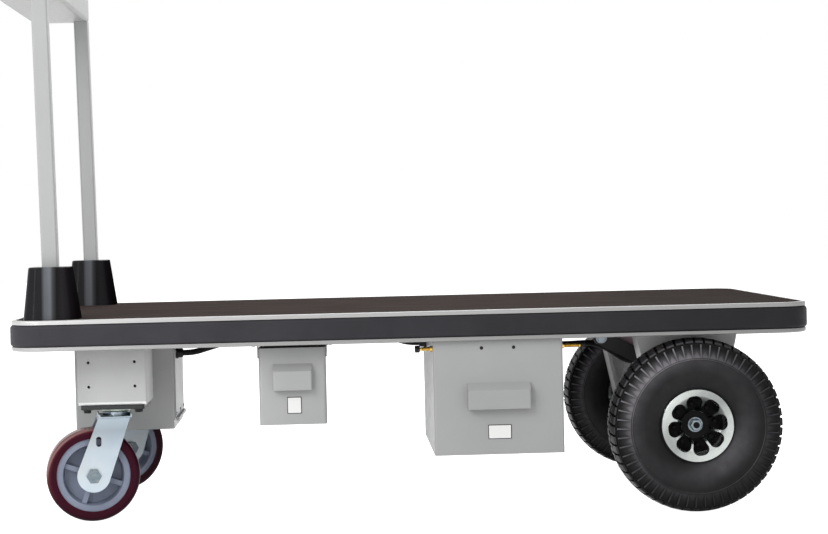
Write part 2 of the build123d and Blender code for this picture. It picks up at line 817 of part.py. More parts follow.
# The powered wheels, each on its half shaft
def make_drive_wheels():
    x = shift(axle_x)
    for name, side in SIDES.items():
        y = side * drive_track_half
        outward = (0, side, 0)
        centre = Vector(x, y, axle_z)
        # Profiles are drawn with x outward along the axle and y away from it
        profile = Plane(origin=centre, x_dir=outward, z_dir=Vector(*outward).cross(Vector(0, 0, 1)))
        spin = Axis(centre, outward)

        with BuildPart() as tyre:
            with BuildSketch(profile):
                with BuildLine():
                    tyre_loop(0)
                make_face()
                with BuildLine():
                    tyre_loop(tyre_wall)
                make_face(mode=Mode.SUBTRACT)
            revolve(axis=spin)
        finish(f"drive_tyre_{name}", tyre.part)

        seat_r = bead_r - seat_gap
        flange_half = bead_half + seat_gap + rim_flange_thickness
        inner_r = seat_r - rim_wall
        ring = inner_r + rim_ring_overlap
        bowl = rim_ring_r - rim_root_r
        root_front = flange_half - bowl - hub_cap_thickness - seat_gap
        root_back = root_front - rim_root_thickness
        face_plane = Plane(origin=centre, x_dir=(1, 0, 0), z_dir=outward)
        with BuildPart() as rim:
            with BuildSketch(profile):
                with BuildLine():
                    Polyline(
                        (-flange_half, inner_r), (-flange_half, rim_flange_r),
                        (-flange_half + rim_flange_thickness, rim_flange_r),
                        (-flange_half + rim_flange_thickness, seat_r),
                        (flange_half - rim_flange_thickness, seat_r),
                        (flange_half - rim_flange_thickness, rim_flange_r),
                        (flange_half, rim_flange_r), (flange_half, inner_r), close=True,
                    )
                make_face()
                with BuildLine():
                    back_r = rim_root_r + spoke_depth
                    Polyline(
                        (flange_half, rim_ring_r), (flange_half, ring), (flange_half - spoke_depth, ring),
                        (flange_half - spoke_depth, rim_ring_r),
                    )
                    bowl_arc(flange_half, bowl, bowl - spoke_depth)
                    Polyline(
                        (flange_half - bowl, back_r), (root_back, back_r),
                        (root_back, half_shaft_r + seat_gap), (root_front, half_shaft_r + seat_gap),
                        (root_front, rim_root_r), (flange_half - bowl, rim_root_r),
                    )
                    bowl_arc(flange_half, bowl, bowl)
                make_face()
            revolve(axis=spin)
            with BuildSketch(face_plane.offset(root_back)):
                windows()
            extrude(amount=flange_half - root_back, mode=Mode.SUBTRACT)
            edges = rim.edges().filter_by(GeomType.CIRCLE)
            fillet(
                edges.filter_by(lambda e: abs(e.radius - rim_flange_r) < seat_gap).group_by(Axis.Y)[
                    0 if side < 0 else -1],
                radius=rim_flange_edge_r,
            )
        finish(f"drive_rim_{name}", rim.part)

        drum_high = root_back - seat_gap
        with BuildPart() as hub:
            with BuildSketch(face_plane.offset(drum_high - hub_drum_width)):
                Circle(hub_drum_r)
            extrude(amount=hub_drum_width)
            shaft_start = hanger_outer_y - hanger_boss_width - axle_tube_bore_depth + shaft_play
            cap_low = root_front + seat_gap
            with BuildSketch(face_plane.offset(shaft_start - drive_track_half)):
                Circle(half_shaft_r)
            extrude(amount=cap_low + drive_track_half - shaft_start)
            with BuildSketch(face_plane.offset(cap_low)):
                Circle(rim_root_r - seat_gap)
            extrude(amount=hub_cap_thickness)
            with BuildSketch(face_plane.offset(cap_low)):
                Circle(shaft_end_r)
            extrude(amount=hub_cap_thickness + shaft_end_length)
        finish(f"drive_hub_{name}", hub.part)


def tyre_loop(wall):
    """The tyre's section in lines and arcs, moved in by wall."""
    bead = bead_half - wall
    shoulder = shoulder_half - wall
    widest = drive_tyre_width / 2 - wall
    crown_edge = crown_edge_half - wall / 2
    low = bead_r + wall / 2
    seat_top = rim_flange_r + bead_lip
    widest_r = (seat_top + shoulder_r) / 2
    for s in (-1, 1):
        Line((0, low), (s * bead, low))
        Line((s * bead, low), (s * bead, seat_top))
        ThreePointArc((s * bead, seat_top), (s * widest, widest_r), (s * shoulder, shoulder_r))
        Line((s * shoulder, shoulder_r), (s * crown_edge, crown_edge_r - wall))
    ThreePointArc(
        (-crown_edge, crown_edge_r - wall), (0, drive_tyre_r - wall), (crown_edge, crown_edge_r - wall)
    )


def bowl_arc(face, bowl, radius):
    """A quarter circle from the ring inward and back, its centre a bowl's depth behind the face."""
    middle = radius * math.sqrt(0.5)
    ThreePointArc(
        (face - bowl + radius, rim_ring_r), (face - bowl + middle, rim_ring_r - middle),
        (face - bowl, rim_ring_r - radius),
    )


def windows():
    """The openings between the spokes: wide and rounded at the ring, narrow at the root."""
    step = 360 / spoke_count
    first = spoke_turn + step / 2
    with PolarLocations(0, spoke_count, start_angle=first):
        with BuildSketch(mode=Mode.PRIVATE) as window:
            with BuildLine():
                half_root = math.radians(step / 2) - math.asin(spoke_width / 2 / rim_root_r)
                half_ring = math.radians(step / 2) - math.asin(spoke_width / 2 / rim_ring_r)
                a = (rim_root_r * math.cos(half_root), rim_root_r * math.sin(half_root))
                b = (rim_ring_r * math.cos(half_ring), rim_ring_r * math.sin(half_ring))
                Line((a[0], -a[1]), (b[0], -b[1]))
                ThreePointArc((b[0], -b[1]), (rim_ring_r, 0), b)
                Line(b, a)
                ThreePointArc(a, (rim_root_r, 0), (a[0], -a[1]))
            make_face()
            fillet(window.vertices().group_by(Axis.X)[-1], radius=spoke_foot_r)
            fillet(window.vertices().group_by(Axis.X)[0], radius=spoke_root_r)
        add(window.sketch)


# The axle: hangers under the deck, a tube with its gear case, and the motor
def gear_case_outline(gap, mode=Mode.ADD):
    """The gear case's outline round the axle and the motor, moved out by gap."""
    with BuildLine(mode=Mode.PRIVATE) as rounds:
        CenterArc((shift(axle_x), axle_z), gear_case_r + gap, 0, 360)
        CenterArc((shift(motor_x), motor_z), motor_case_r + gap, 0, 360)
    make_hull(rounds.edges(), mode=mode)


def make_axle():
    x = shift(axle_x)
    half_top = hanger_top / 2
    taper = math.tan(math.radians(hanger_taper))
    half_low = half_top - taper * (deck_under - axle_z)
    # The flanges are the plate's own outline, inward as deep as they are folded
    flange_low = axle_z + hanger_flange_drop
    flange_half = half_top - taper * (deck_under - flange_low)
    fold = hanger_thickness / math.cos(math.radians(hanger_taper))
    for name, side in SIDES.items():
        outer = side * hanger_outer_y
        # Drawn on the outer face: x along the cart, y up, z towards the cart's middle
        plate = Plane(origin=(x, outer, 0), x_dir=(side, 0, 0), z_dir=(0, -side, 0))
        with BuildPart() as hanger:
            with BuildSketch(plate):
                with BuildLine():
                    Polyline(
                        (half_top, deck_under), (half_low, axle_z),
                        (-half_low, axle_z), (-half_top, deck_under), close=True,
                    )
                make_face()
                with Locations((0, axle_z)):
                    Circle(half_low)
            extrude(amount=hanger_thickness)
            with BuildSketch(plate):
                with Locations((0, axle_z)):
                    Circle(hanger_boss_r)
            extrude(amount=hanger_boss_width)
            with BuildSketch(plate):
                with BuildLine():
                    Polyline(
                        (half_top, deck_under), (flange_half, flange_low),
                        (-flange_half, flange_low), (-half_top, deck_under), close=True,
                    )
                make_face()
                with BuildLine():
                    Polyline(
                        (half_top - fold, deck_under - hanger_thickness), (flange_half - fold, flange_low),
                        (fold - flange_half, flange_low), (fold - half_top, deck_under - hanger_thickness),
                        close=True,
                    )
                make_face(mode=Mode.SUBTRACT)
            extrude(amount=hanger_flange)
            with BuildSketch(plate):
                with Locations((0, axle_z)):
                    Circle(half_shaft_r + run_gap)
            extrude(amount=hanger_boss_width, mode=Mode.SUBTRACT)
        finish(f"axle_hanger_{name}", hanger.part)

    tube_half = hanger_outer_y - hanger_boss_width
    across = Plane.XZ.offset(-tube_half)
    case_plane = Plane.XZ.offset(-(motor_y + gear_case_width))
    with BuildPart() as axle_housing:
        with BuildSketch(case_plane):
            gear_case_outline(0)
        extrude(amount=gear_case_width)
        fillet(ends(axle_housing, Axis.Y), radius=gear_case_edge_r)
        with BuildSketch(across):
            with Locations((x, axle_z)):
                Circle(axle_tube_r)
        extrude(amount=2 * tube_half)
        for start in (across, Plane.XZ.offset(tube_half - axle_tube_bore_depth)):
            with BuildSketch(start):
                with Locations((x, axle_z)):
                    Circle(axle_tube_bore_r)
            extrude(amount=axle_tube_bore_depth, mode=Mode.SUBTRACT)
    finish("axle_housing", axle_housing.part)

    with BuildPart() as drive_motor:
        with BuildSketch(Plane.XZ.offset(-motor_y)):
            with Locations((shift(motor_x), motor_z)):
                Circle(motor_r)
        extrude(amount=motor_length)
        for y in (motor_y - motor_band_width, motor_tail_y + 2 * motor_band_width):
            with BuildSketch(Plane.XZ.offset(-y)):
                with Locations((shift(motor_x), motor_z)):
                    Circle(motor_band_r)
            extrude(amount=motor_band_width)
        fillet(ends(drive_motor, Axis.Y).sort_by(Axis.Y)[0], radius=motor_end_r)
    finish("drive_motor", drive_motor.part)

    # A stay on the motor's tail, in front of the gusset
    foot = (shift(motor_x + stay_foot_x), motor_z + stay_foot_z)
    with BuildPart() as motor_bracket:
        with BuildSketch(Plane.XZ.offset(gusset_thickness + 2 * seat_gap - motor_tail_y)):
            with BuildLine(mode=Mode.PRIVATE) as rounds:
                CenterArc((shift(motor_x), motor_z - motor_r / 2), stay_width / 2, 0, 360)
                CenterArc(foot, stay_width / 2, 0, 360)
            make_hull(rounds.edges())
        extrude(amount=stay_thickness)
    finish("motor_bracket", motor_bracket.part)


# The boxes below the deck
def open_box(x, y, low, high, length, depth, corner_r):
    """A sheet box with its open top against the deck."""
    with BuildSketch(Plane.XY.offset(low)) as outside:
        with Locations((x, y)):
            RectangleRounded(length, depth, corner_r)
    extrude(outside.sketch, amount=high - low)
    with BuildSketch(Plane.XY.offset(low + box_wall)) as inside:
        with Locations((x, y)):
            RectangleRounded(length - 2 * box_wall, depth - 2 * box_wall, max(corner_r - box_wall, 0.5))
    extrude(inside.sketch, amount=high - low, mode=Mode.SUBTRACT)


def hood(name, x, face_y, top, size):
    """A sheet hood on a box's right face: a sloped top, a front, and an open bottom."""
    length, height, depth = size
    slope_z = top - hood_slope * height
    bottom = top - height
    with BuildPart() as cover:
        with BuildSketch(Plane.YZ.offset(x - length / 2)):
            with BuildLine():
                Polyline(
                    (face_y, top), (face_y - depth, slope_z), (face_y - depth, bottom),
                    (face_y, bottom), close=True,
                )
            make_face()
        extrude(amount=length)
        front = cover.faces().sort_by(Axis.Y)[0]
        fillet(front.edges().sort_by(Axis.Z)[1:], radius=hood_fold_r)
        with BuildSketch(Plane.YZ.offset(x - length / 2 + hood_wall)):
            with BuildLine():
                Polyline(
                    (face_y, top - 2 * hood_wall), (face_y - depth + hood_wall, slope_z - hood_wall),
                    (face_y - depth + hood_wall, bottom), (face_y, bottom), close=True,
                )
            make_face()
        extrude(amount=length - 2 * hood_wall, mode=Mode.SUBTRACT)
    finish(name, cover.part)


def make_boxes():
    controller_x = shift(controller_front - controller_length / 2)
    with BuildPart() as controller_box:
        open_box(
            controller_x, 0, controller_bottom, deck_under,
            controller_length, 2 * controller_half, box_corner_r,
        )
    finish("controller_box", controller_box.part)

    lid_height = deck_under - controller_bottom - 2 * controller_lid_margin
    with BuildPart() as controller_lid:
        with BuildSketch(Plane.YZ.offset(shift(controller_front))):
            with Locations((0, (deck_under + controller_bottom) / 2)):
                RectangleRounded(
                    2 * (controller_half - controller_lid_margin), lid_height, controller_lid_corner_r,
                )
        extrude(amount=controller_lid_thickness)
        lip_z = controller_bottom + controller_lid_margin + controller_lip_height / 2
        with BuildSketch(Plane.YZ.offset(shift(controller_front))):
            with Locations((0, lip_z)):
                Rectangle(
                    2 * (controller_half - controller_lid_margin - controller_lid_corner_r),
                    controller_lip_height,
                )
        extrude(amount=controller_lip_out)
    finish("controller_lid", controller_lid.part)

    x = shift(charger_x)
    charger_top = deck_under - charger_top_gap
    middle_y = charger_face_y + charger_depth / 2
    with BuildPart() as charger_box:
        open_box(
            x, middle_y, charger_bottom, charger_top, charger_length, charger_depth, charger_corner_r,
        )
        for s in (-1, 1):
            edge = x + s * charger_length / 2
            for y in (charger_face_y + charger_tab_width, charger_face_y + charger_depth - charger_tab_width):
                with BuildSketch(Plane.XY.offset(charger_top - charger_tab_width)):
                    with Locations((edge + s * charger_tab_thickness / 2, y)):
                        Rectangle(charger_tab_thickness, charger_tab_width)
                extrude(amount=charger_tab_width + charger_top_gap)
                with BuildSketch(Plane.XY.offset(deck_under - charger_tab_thickness)):
                    with Locations((edge + s * charger_tab_length / 2, y)):
                        Rectangle(charger_tab_length, charger_tab_width)
                extrude(amount=charger_tab_thickness)
    finish("charger_box", charger_box.part)
    hood("charger_hood", x, charger_face_y, charger_hood_top, charger_hood_size)

    x = shift(battery_x)
    middle_y = battery_face_y + battery_depth / 2
    with BuildPart() as battery_box:
        open_box(
            x, middle_y, battery_bottom, deck_under, battery_length, battery_depth, box_corner_r,
        )
    finish("battery_box", battery_box.part)
    hood("battery_hood", x, battery_face_y, battery_hood_top, battery_hood_size)

    with BuildPart() as battery_block:
        with BuildSketch(Plane.XY.offset(battery_bottom + box_wall)):
            with Locations((x, middle_y)):
                Rectangle(
                    battery_length - 2 * box_wall - 2 * battery_block_margin,
                    battery_depth - 2 * box_wall - 2 * battery_block_margin,
                )
        extrude(amount=battery_block_height)
    finish("battery_block", battery_block.part)


# The cables clipped under the deck: controller to charger, charger to battery,
# battery to motor. Each row is one cable's points.
def make_cables():
    charger_back = charger_face_y + charger_depth
    charger_mid = shift(charger_x)
    battery_left = shift(battery_x - battery_length / 2)
    battery_right = shift(battery_x + battery_length / 2)
    lid_face = shift(controller_front) + controller_lid_thickness
    motor_side = shift(motor_x) - motor_r
    high = deck_under - cable_r - seat_gap
    low = deck_under - cable_drop
    between = (high + low) / 2
    charger_bend = charger_back + cable_lead + cable_r
    start_y = cable_y + cable_lead
    out_x = charger_mid - cable_spacing / 2
    in_x = charger_mid + cable_spacing / 2
    routes = [
        [
            (lid_face, start_y, low), (lid_face + cable_lead, start_y, low),
            (lid_face + 2 * cable_slant, cable_y, high), (out_x - cable_slant, cable_y, high),
            (out_x, charger_bend, low), (out_x, charger_back, low),
        ],
        [
            (in_x, charger_back, low), (in_x, charger_bend, low),
            (in_x + cable_slant, cable_y, high), (battery_left - 2 * cable_lead, cable_y, high),
            (battery_left - cable_lead, cable_y, between), (battery_left, cable_y, between),
        ],
        [
            (battery_right, cable_y, low), (battery_right + cable_lead, cable_y, low),
            (battery_right + 2 * cable_slant, start_y, low),
            (motor_side - cable_lead, start_y, motor_z), (motor_side, start_y, motor_z),
        ],
    ]
    with BuildPart() as cable_loom:
        for points in routes:
            with BuildLine() as route:
                FilletPolyline(*points, radius=cable_radii(points))
            start = Vector(*points[0])
            heading = Vector(*points[1]) - start
            with BuildSketch(Plane(origin=start, z_dir=heading)):
                Circle(cable_r)
            sweep(path=route.wires()[0])
    finish("cable_loom", cable_loom.part)


def cable_radii(points):
    """The largest arc that each corner's two runs leave room for."""
    radii = []
    for a, b, c in zip(points, points[1:], points[2:]):
        run_in = Vector(*b) - Vector(*a)
        run_out = Vector(*c) - Vector(*b)
        half_turn = math.radians(run_in.get_angle(run_out)) / 2
        radii.append(0.45 * min(run_in.length, run_out.length) / math.tan(half_turn))
    print("cable radii", [round(r) for r in radii])
    return radii


make_deck()
make_frame()
make_uprights()
make_console()
make_handlebar()
make_casters()
make_drive_wheels()
make_axle()
make_boxes()
make_cables()
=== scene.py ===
import cmath
import json
import math

import bpy
from mathutils import Matrix, Vector


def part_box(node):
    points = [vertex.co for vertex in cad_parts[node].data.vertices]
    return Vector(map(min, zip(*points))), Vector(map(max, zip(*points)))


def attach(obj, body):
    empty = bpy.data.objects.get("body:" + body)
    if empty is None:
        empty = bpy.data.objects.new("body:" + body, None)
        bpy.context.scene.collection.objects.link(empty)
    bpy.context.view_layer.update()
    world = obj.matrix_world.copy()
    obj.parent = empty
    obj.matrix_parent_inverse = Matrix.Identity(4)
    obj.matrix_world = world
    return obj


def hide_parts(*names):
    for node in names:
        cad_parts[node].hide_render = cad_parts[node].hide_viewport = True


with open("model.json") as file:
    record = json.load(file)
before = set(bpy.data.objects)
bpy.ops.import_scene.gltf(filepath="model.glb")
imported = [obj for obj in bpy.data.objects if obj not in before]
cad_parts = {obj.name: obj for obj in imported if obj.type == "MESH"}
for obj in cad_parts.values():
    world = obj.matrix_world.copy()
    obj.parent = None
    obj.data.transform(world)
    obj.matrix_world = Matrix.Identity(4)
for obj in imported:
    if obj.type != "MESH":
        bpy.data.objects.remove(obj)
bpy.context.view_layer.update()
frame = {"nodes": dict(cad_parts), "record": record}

# Electric platform cart, dressed. Metres, in the frame of the solids:
# +X from the handle to the powered wheels, +Y to the left, +Z up.

SIDES = {"right": -1, "left": 1}
record = frame["record"]
JOINTS = {joint["name"]: joint for joint in record["behaviour"]["joints"]}
GROOVE = "groove"
FINISHES = {}

# Stretches over which painted light and shade fall off: direction, start and end
ALONG_DECK = ((1, 0, 0), -0.6, 0.7)
ACROSS_DECK = ((0, 1, 0), -0.3, 0.3)

# Camera, as fitted to the photograph's edges
image_width = 828
focal_pixels = 1986.4
sensor_width = 36.0
camera_at = Vector((-0.0734, -3.4452, 0.4774))
camera_yaw = math.radians(-2.390)
camera_pitch = math.radians(1.404)
camera_roll = math.radians(1.322)

# Studio
floor_radius = 14.0
ambient_strength = 0.46
floor_lift = 1.0  # what the floor adds for the camera, so that it is white there
floor_glow = 0.10  # what it adds for the undersides

# Small parts
sign_thickness = 0.0012
sign_rim = 0.0010
lock_r = 0.0034
lock_length = 0.020
lock_pitch = 0.0012
knob_r = 0.0056
lid_rim = 0.004  # the controller's lid stands back from its folded edge
vent_pitch = 0.009
plate_thickness = 0.006  # of the casters' plates
hanger_flange = 0.006
case_reach = 0.084  # of the gear case, past the motor
nut_seat = 0.0042  # washers under the wheel's nut
drum_behind_nut = 0.0084
drum_bolt_ring_r = 0.033
stem_length = 0.014  # of the wheel's stud, past its cap
cable_y = -0.090
cable_drop = 0.024  # of the cables where they enter a box, below the deck
saddle_r = 0.0062
saddle_rise = 0.0052  # from the frame to the cable's middle
saddle_strap = 0.0012
grip_y = 0.112  # middle of a grip
grip_length = 0.118
bar_end_y = 0.225
grip_rib_pitch = 0.0042
grip_rib_depth = 0.0009
fin_pitch = 0.0085
fin_height = 0.0022
screw_y = 0.2685  # fascia's corner screws, from its middle
screw_rise = 0.0467
inner_control_y = 0.055
outer_control_y = 0.165

# Powered wheel: the tyre's section, as in its solid
tyre_r = 0.1385
tyre_half_widest = 0.043
bead_r = 0.053
bead_half = 0.027
bead_top_r = 0.059
shoulder_r = 0.112
shoulder_half = 0.039
crown_edge_r = 0.135
crown_edge_half = 0.032
rim_r = 0.058

# Tread
lug_count = 54
ring_low_r = 0.1050
ring_high_r = 0.1080
ring_height = 0.0008
rib_low_r = 0.1090
rib_high_r = 0.1295
rib_share = 0.15  # of a lug's pitch
rib_groove_depth = 0.0034
wedge_reach = 0.62  # how far out the wedges go, as a share of the rib
side_groove_r = (0.1302, 0.1316)
side_groove_depth = 0.0024
block_groove_depth = 0.0040
block_groove_share = 0.20
block_start_r = 0.1325
zigzag = 0.0026
zigzag_at = 0.0120  # from the tyre's middle
zigzag_groove_half = 0.0011


def rgb(red, green, blue):
    """A colour as a screen shows it, 0 to 255, as linear light."""
    def linear(value):
        share = value / 255
        return share / 12.92 if share <= 0.04045 else ((share + 0.055) / 1.055) ** 2.4
    return (linear(red), linear(green), linear(blue), 1.0)


# Camera, light and floor
def make_camera():
    forward = Vector((
        -math.sin(camera_yaw) * math.cos(camera_pitch),
        math.cos(camera_yaw) * math.cos(camera_pitch),
        -math.sin(camera_pitch),
    ))
    level = Vector((math.cos(camera_yaw), math.sin(camera_yaw), 0))
    rise = level.cross(forward)
    right = math.cos(camera_roll) * level - math.sin(camera_roll) * rise
    up = math.sin(camera_roll) * level + math.cos(camera_roll) * rise
    data = bpy.data.cameras.new("camera")
    data.sensor_fit = "HORIZONTAL"
    data.sensor_width = sensor_width
    data.lens = focal_pixels * sensor_width / image_width
    data.clip_end = 60
    camera = bpy.data.objects.new("camera", data)
    turn = Matrix((right, up, -forward)).transposed().to_4x4()
    camera.matrix_world = Matrix.Translation(camera_at) @ turn
    bpy.context.scene.collection.objects.link(camera)
    bpy.context.scene.camera = camera


def area_lamp(name, at, target, width, height, power):
    data = bpy.data.lights.new(name, "AREA")
    data.shape = "RECTANGLE"
    data.size = width
    data.size_y = height
    data.energy = power
    lamp = bpy.data.objects.new(name, data)
    lamp.location = at
    lamp.rotation_euler = (Vector(target) - Vector(at)).to_track_quat("-Z", "Y").to_euler()
    bpy.context.scene.collection.objects.link(lamp)


def add_node(tree, kind, inputs, **settings):
    """A shader node; each input gets its value, or a link where that is another node's output."""
    node = tree.nodes.new(f"ShaderNode{kind}")
    for key, value in settings.items():
        setattr(node, key, value)
    for key, value in inputs.items():
        if isinstance(value, bpy.types.NodeSocket):
            tree.links.new(value, node.inputs[key])
        else:
            node.inputs[key].default_value = value
    return node


def for_the_camera(tree, otherwise, seen):
    """The value seen for rays from the camera and those that shine off or pass through, else the other."""
    path = add_node(tree, "LightPath", {})
    total = path.outputs["Is Camera Ray"]
    for name in ("Is Glossy Ray", "Is Transmission Ray"):
        add = add_node(tree, "Math", {0: total, 1: path.outputs[name]}, operation="ADD", use_clamp=True)
        total = add.outputs[0]
    return add_node(tree, "MapRange", {"Value": total, "To Min": otherwise, "To Max": seen}).outputs["Result"]


def make_world():
    world = bpy.data.worlds.new("studio")
    bpy.context.scene.world = world
    world.use_nodes = True
    tree = world.node_tree
    background = tree.nodes["Background"]
    background.inputs["Color"].default_value = (1, 1, 1, 1)
    tree.links.new(for_the_camera(tree, ambient_strength, 1.0), background.inputs["Strength"])


def make_floor():
    """A pale disc that turns white for the camera wherever no shadow falls."""
    count = 96
    mesh = bpy.data.meshes.new("floor")
    mesh.from_pydata([(x, y, 0) for x, y in polygon(count, floor_radius)], [], [list(range(count))])
    floor = bpy.data.objects.new("floor", mesh)
    bpy.context.scene.collection.objects.link(floor)
    material = bpy.data.materials.new("floor")
    material.use_nodes = True
    tree = material.node_tree
    shader = tree.nodes["Principled BSDF"]
    shader.inputs["Base Color"].default_value = (0.8, 0.8, 0.8, 1)
    shader.inputs["Roughness"].default_value = 0.9
    shader.inputs["Specular IOR Level"].default_value = 0.0
    shader.inputs["Emission Color"].default_value = (1, 1, 1, 1)
    tree.links.new(for_the_camera(tree, floor_glow, floor_lift), shader.inputs["Emission Strength"])
    floor.data.materials.append(material)


def make_studio():
    make_world()
    make_floor()
    area_lamp("key", (-2.3, -2.5, 2.3), (-0.1, 0, 0.3), 2.2, 1.6, 66)
    area_lamp("fill", (2.6, -3.0, 1.6), (0.2, 0, 0.3), 2.0, 1.6, 8)
    area_lamp("top", (0.2, 0.3, 3.4), (0, 0, 0.3), 2.8, 1.8, 45)
    area_lamp("strip", (-1.35, -2.6, 0.9), (-0.55, -0.3, 0.4), 0.16, 1.5, 8)
    area_lamp("back", (0.4, 3.0, 2.0), (0, 0, 0.3), 2.4, 1.2, 30)


# Materials
class Finish:
    """One material: its shader, and the nodes that give it grain, mottling and soft edges."""

    def __init__(self, name, colour, roughness, metallic=0.0, specular=0.5):
        FINISHES[name] = bpy.data.materials.new(name)
        FINISHES[name].use_nodes = True
        self.tree = FINISHES[name].node_tree
        self.shader = self.tree.nodes["Principled BSDF"]
        self.shader.inputs["Base Color"].default_value = rgb(*colour)
        self.shader.inputs["Roughness"].default_value = roughness
        self.shader.inputs["Metallic"].default_value = metallic
        self.shader.inputs["Specular IOR Level"].default_value = specular
        self.place = self.node("TexCoord", {}).outputs["Object"]
        self.normal = None
        flat = self.node("RGB", {})
        flat.outputs[0].default_value = rgb(*colour)
        self.colour = flat.outputs[0]

    def node(self, kind, inputs, **settings):
        return add_node(self.tree, kind, inputs, **settings)

    def link(self, output, name):
        self.tree.links.new(output, self.shader.inputs[name])
        return self

    def noise(self, scale, detail=3.0, stretch=(1, 1, 1)):
        """Cloudy noise, scale spots to the metre, stretched along any axis."""
        place = self.node("Mapping", {"Vector": self.place, "Scale": stretch}).outputs["Vector"]
        return self.node("TexNoise", {"Vector": place, "Scale": scale, "Detail": detail}).outputs["Fac"]

    def cells(self, scale):
        """Rounded pebbles, scale to the metre."""
        pebbles = self.node("TexVoronoi", {"Vector": self.place, "Scale": scale}, feature="SMOOTH_F1")
        return pebbles.outputs["Distance"]

    def ranged(self, value, low, high, start=0.3, end=0.7):
        inputs = {"Value": value, "From Min": start, "From Max": end, "To Min": low, "To Max": high}
        return self.node("MapRange", inputs).outputs["Result"]

    def painted(self, colour):
        self.colour = colour
        return self.link(colour, "Base Color")

    def colours(self, value, *stops):
        """The colour runs through the stops, each (place from 0 to 1, colour), as the value rises."""
        ramp = self.node("ValToRGB", {"Fac": value})
        elements = ramp.color_ramp.elements
        elements[0].position = stops[0][0]
        elements[1].position = stops[-1][0]
        elements[0].color = rgb(*stops[0][1])
        elements[1].color = rgb(*stops[-1][1])
        for place, colour in stops[1:-1]:
            elements.new(place).color = rgb(*colour)
        return self.painted(ramp.outputs["Color"])

    def mottled(self, scale, detail, dark, light, end=0.7):
        return self.colours(self.noise(scale, detail), (0.3, dark), (end, light))

    def along(self, direction, start, end):
        """0 to 1 from start to end, in metres, along a direction."""
        return self.share(self.place, direction, start, end)

    def across_wheel(self, direction, radius):
        """0 to 1 along a direction, from one side of the powered wheels to the other."""
        middle = joint_at("drive_roll_right").dot(Vector(direction).normalized())
        return self.along(direction, middle - radius, middle + radius)

    def facing(self, direction, start=-1.0, end=1.0):
        """0 to 1 as the surface turns to face a direction."""
        return self.share(self.node("NewGeometry", {}).outputs["Normal"], direction, start, end)

    def share(self, vector, direction, start, end):
        inputs = {0: vector, 1: Vector(direction).normalized()}
        dot = self.node("VectorMath", inputs, operation="DOT_PRODUCT")
        return self.ranged(dot.outputs["Value"], 0.0, 1.0, start, end)

    def groove(self):
        """The mesh's own measure of how deep it lies, 0 on top to 1."""
        return self.node("Attribute", {}, attribute_name=GROOVE).outputs["Fac"]

    def tone(self, value, *stops):
        """Lighten or darken the colour: stops are (value, factor)."""
        curve = self.node("FloatCurve", {"Value": value})
        points = curve.mapping.curves[0].points
        curve.mapping.clip_max_y = 3.0
        curve.mapping.use_clip = False
        points[0].location = stops[0]
        points[1].location = stops[-1]
        for stop in stops[1:-1]:
            points.new(*stop)
        for point in points:
            point.handle_type = "VECTOR"
        curve.mapping.update()
        inputs = {0: self.colour, "Scale": curve.outputs["Value"]}
        return self.painted(self.node("VectorMath", inputs, operation="SCALE").outputs["Vector"])

    def roughness(self, value, low, high):
        return self.link(self.ranged(value, low, high), "Roughness")

    def worn(self, scale, detail, low, high):
        return self.roughness(self.noise(scale, detail), low, high)

    def bent(self, normal):
        self.normal = normal
        return self.link(normal, "Normal")

    def soft_edges(self, radius):
        """Light catches the edges as if they were rounded."""
        return self.bent(self.node("Bevel", {"Radius": radius}, samples=4).outputs["Normal"])

    def bump(self, value, strength, distance):
        inputs = {"Height": value, "Strength": strength, "Distance": distance}
        if self.normal is not None:
            inputs["Normal"] = self.normal
        return self.bent(self.node("Bump", inputs).outputs["Normal"])

    def grain(self, scale, detail, strength, distance):
        return self.bump(self.noise(scale, detail), strength, distance)


def coat_finish(name, colour, roughness, metallic, specular, clouds, grain=None, edges=0.0):
    """A coat or moulding with clouds of two shades, a grain and soft edges."""
    finish = Finish(name, colour, roughness, metallic, specular)
    finish.mottled(*clouds)
    if grain:
        finish.grain(*grain)
    if edges:
        finish.soft_edges(edges)


def mat_finish():
    """Brown-black rubber sheet with a fine pebble, rubbed a little along its length, with painted shade that
    darkens it towards the powered wheels.
    """
    finish = Finish("mat", (58, 49, 46), 0.95, specular=0.02)
    patches = finish.noise(9, 5, (1, 3, 1))
    finish.colours(patches, (0.25, (50, 42, 40)), (0.55, (58, 50, 47)), (0.8, (68, 59, 55)))
    # Painted shade: darker towards the powered wheels, where less light falls
    finish.tone(finish.along(*ALONG_DECK), (0.0, 0.95), (0.6, 0.95), (1.0, 0.6))
    finish.bump(finish.cells(420), 0.5, 0.0005)
    finish.grain(1600, 2, 0.3, 0.0002)


def trim_finish():
    """Satin anodised extrusion with faint lines along its length, with painted light: bright at the handle's
    end, darker towards the powered wheels and darker on the lower lip.
    """
    finish = Finish("trim", (186, 186, 185), 0.42, 0.55)
    lines = finish.noise(260, 2, (0.02, 0.02, 4))
    finish.colours(lines, (0.3, (178, 178, 178)), (0.7, (182, 182, 181)))
    # Painted light and shade: brighter at the handle's end, darker towards the powered wheels
    finish.tone(finish.along(*ALONG_DECK), (0.0, 1.3), (0.2, 0.95), (1.0, 0.62))
    # Painted shade: the lower lip darker
    finish.tone(finish.along((0, 0, 1), 0.28, 0.33), (0.0, 0.68), (0.5, 0.8), (1.0, 1.0))
    finish.roughness(lines, 0.41, 0.44)
    finish.soft_edges(0.0006)


def bumper_finish():
    finish = Finish("bumper", (60, 59, 63), 0.55, specular=0.1)
    finish.mottled(14, 5, (56, 55, 59), (64, 63, 67))
    # Painted shade: darker towards the powered wheels
    finish.tone(finish.along(*ALONG_DECK), (0.0, 1.1), (1.0, 0.42))
    finish.worn(60, 3, 0.48, 0.62)
    finish.grain(1400, 2, 0.12, 0.0002)


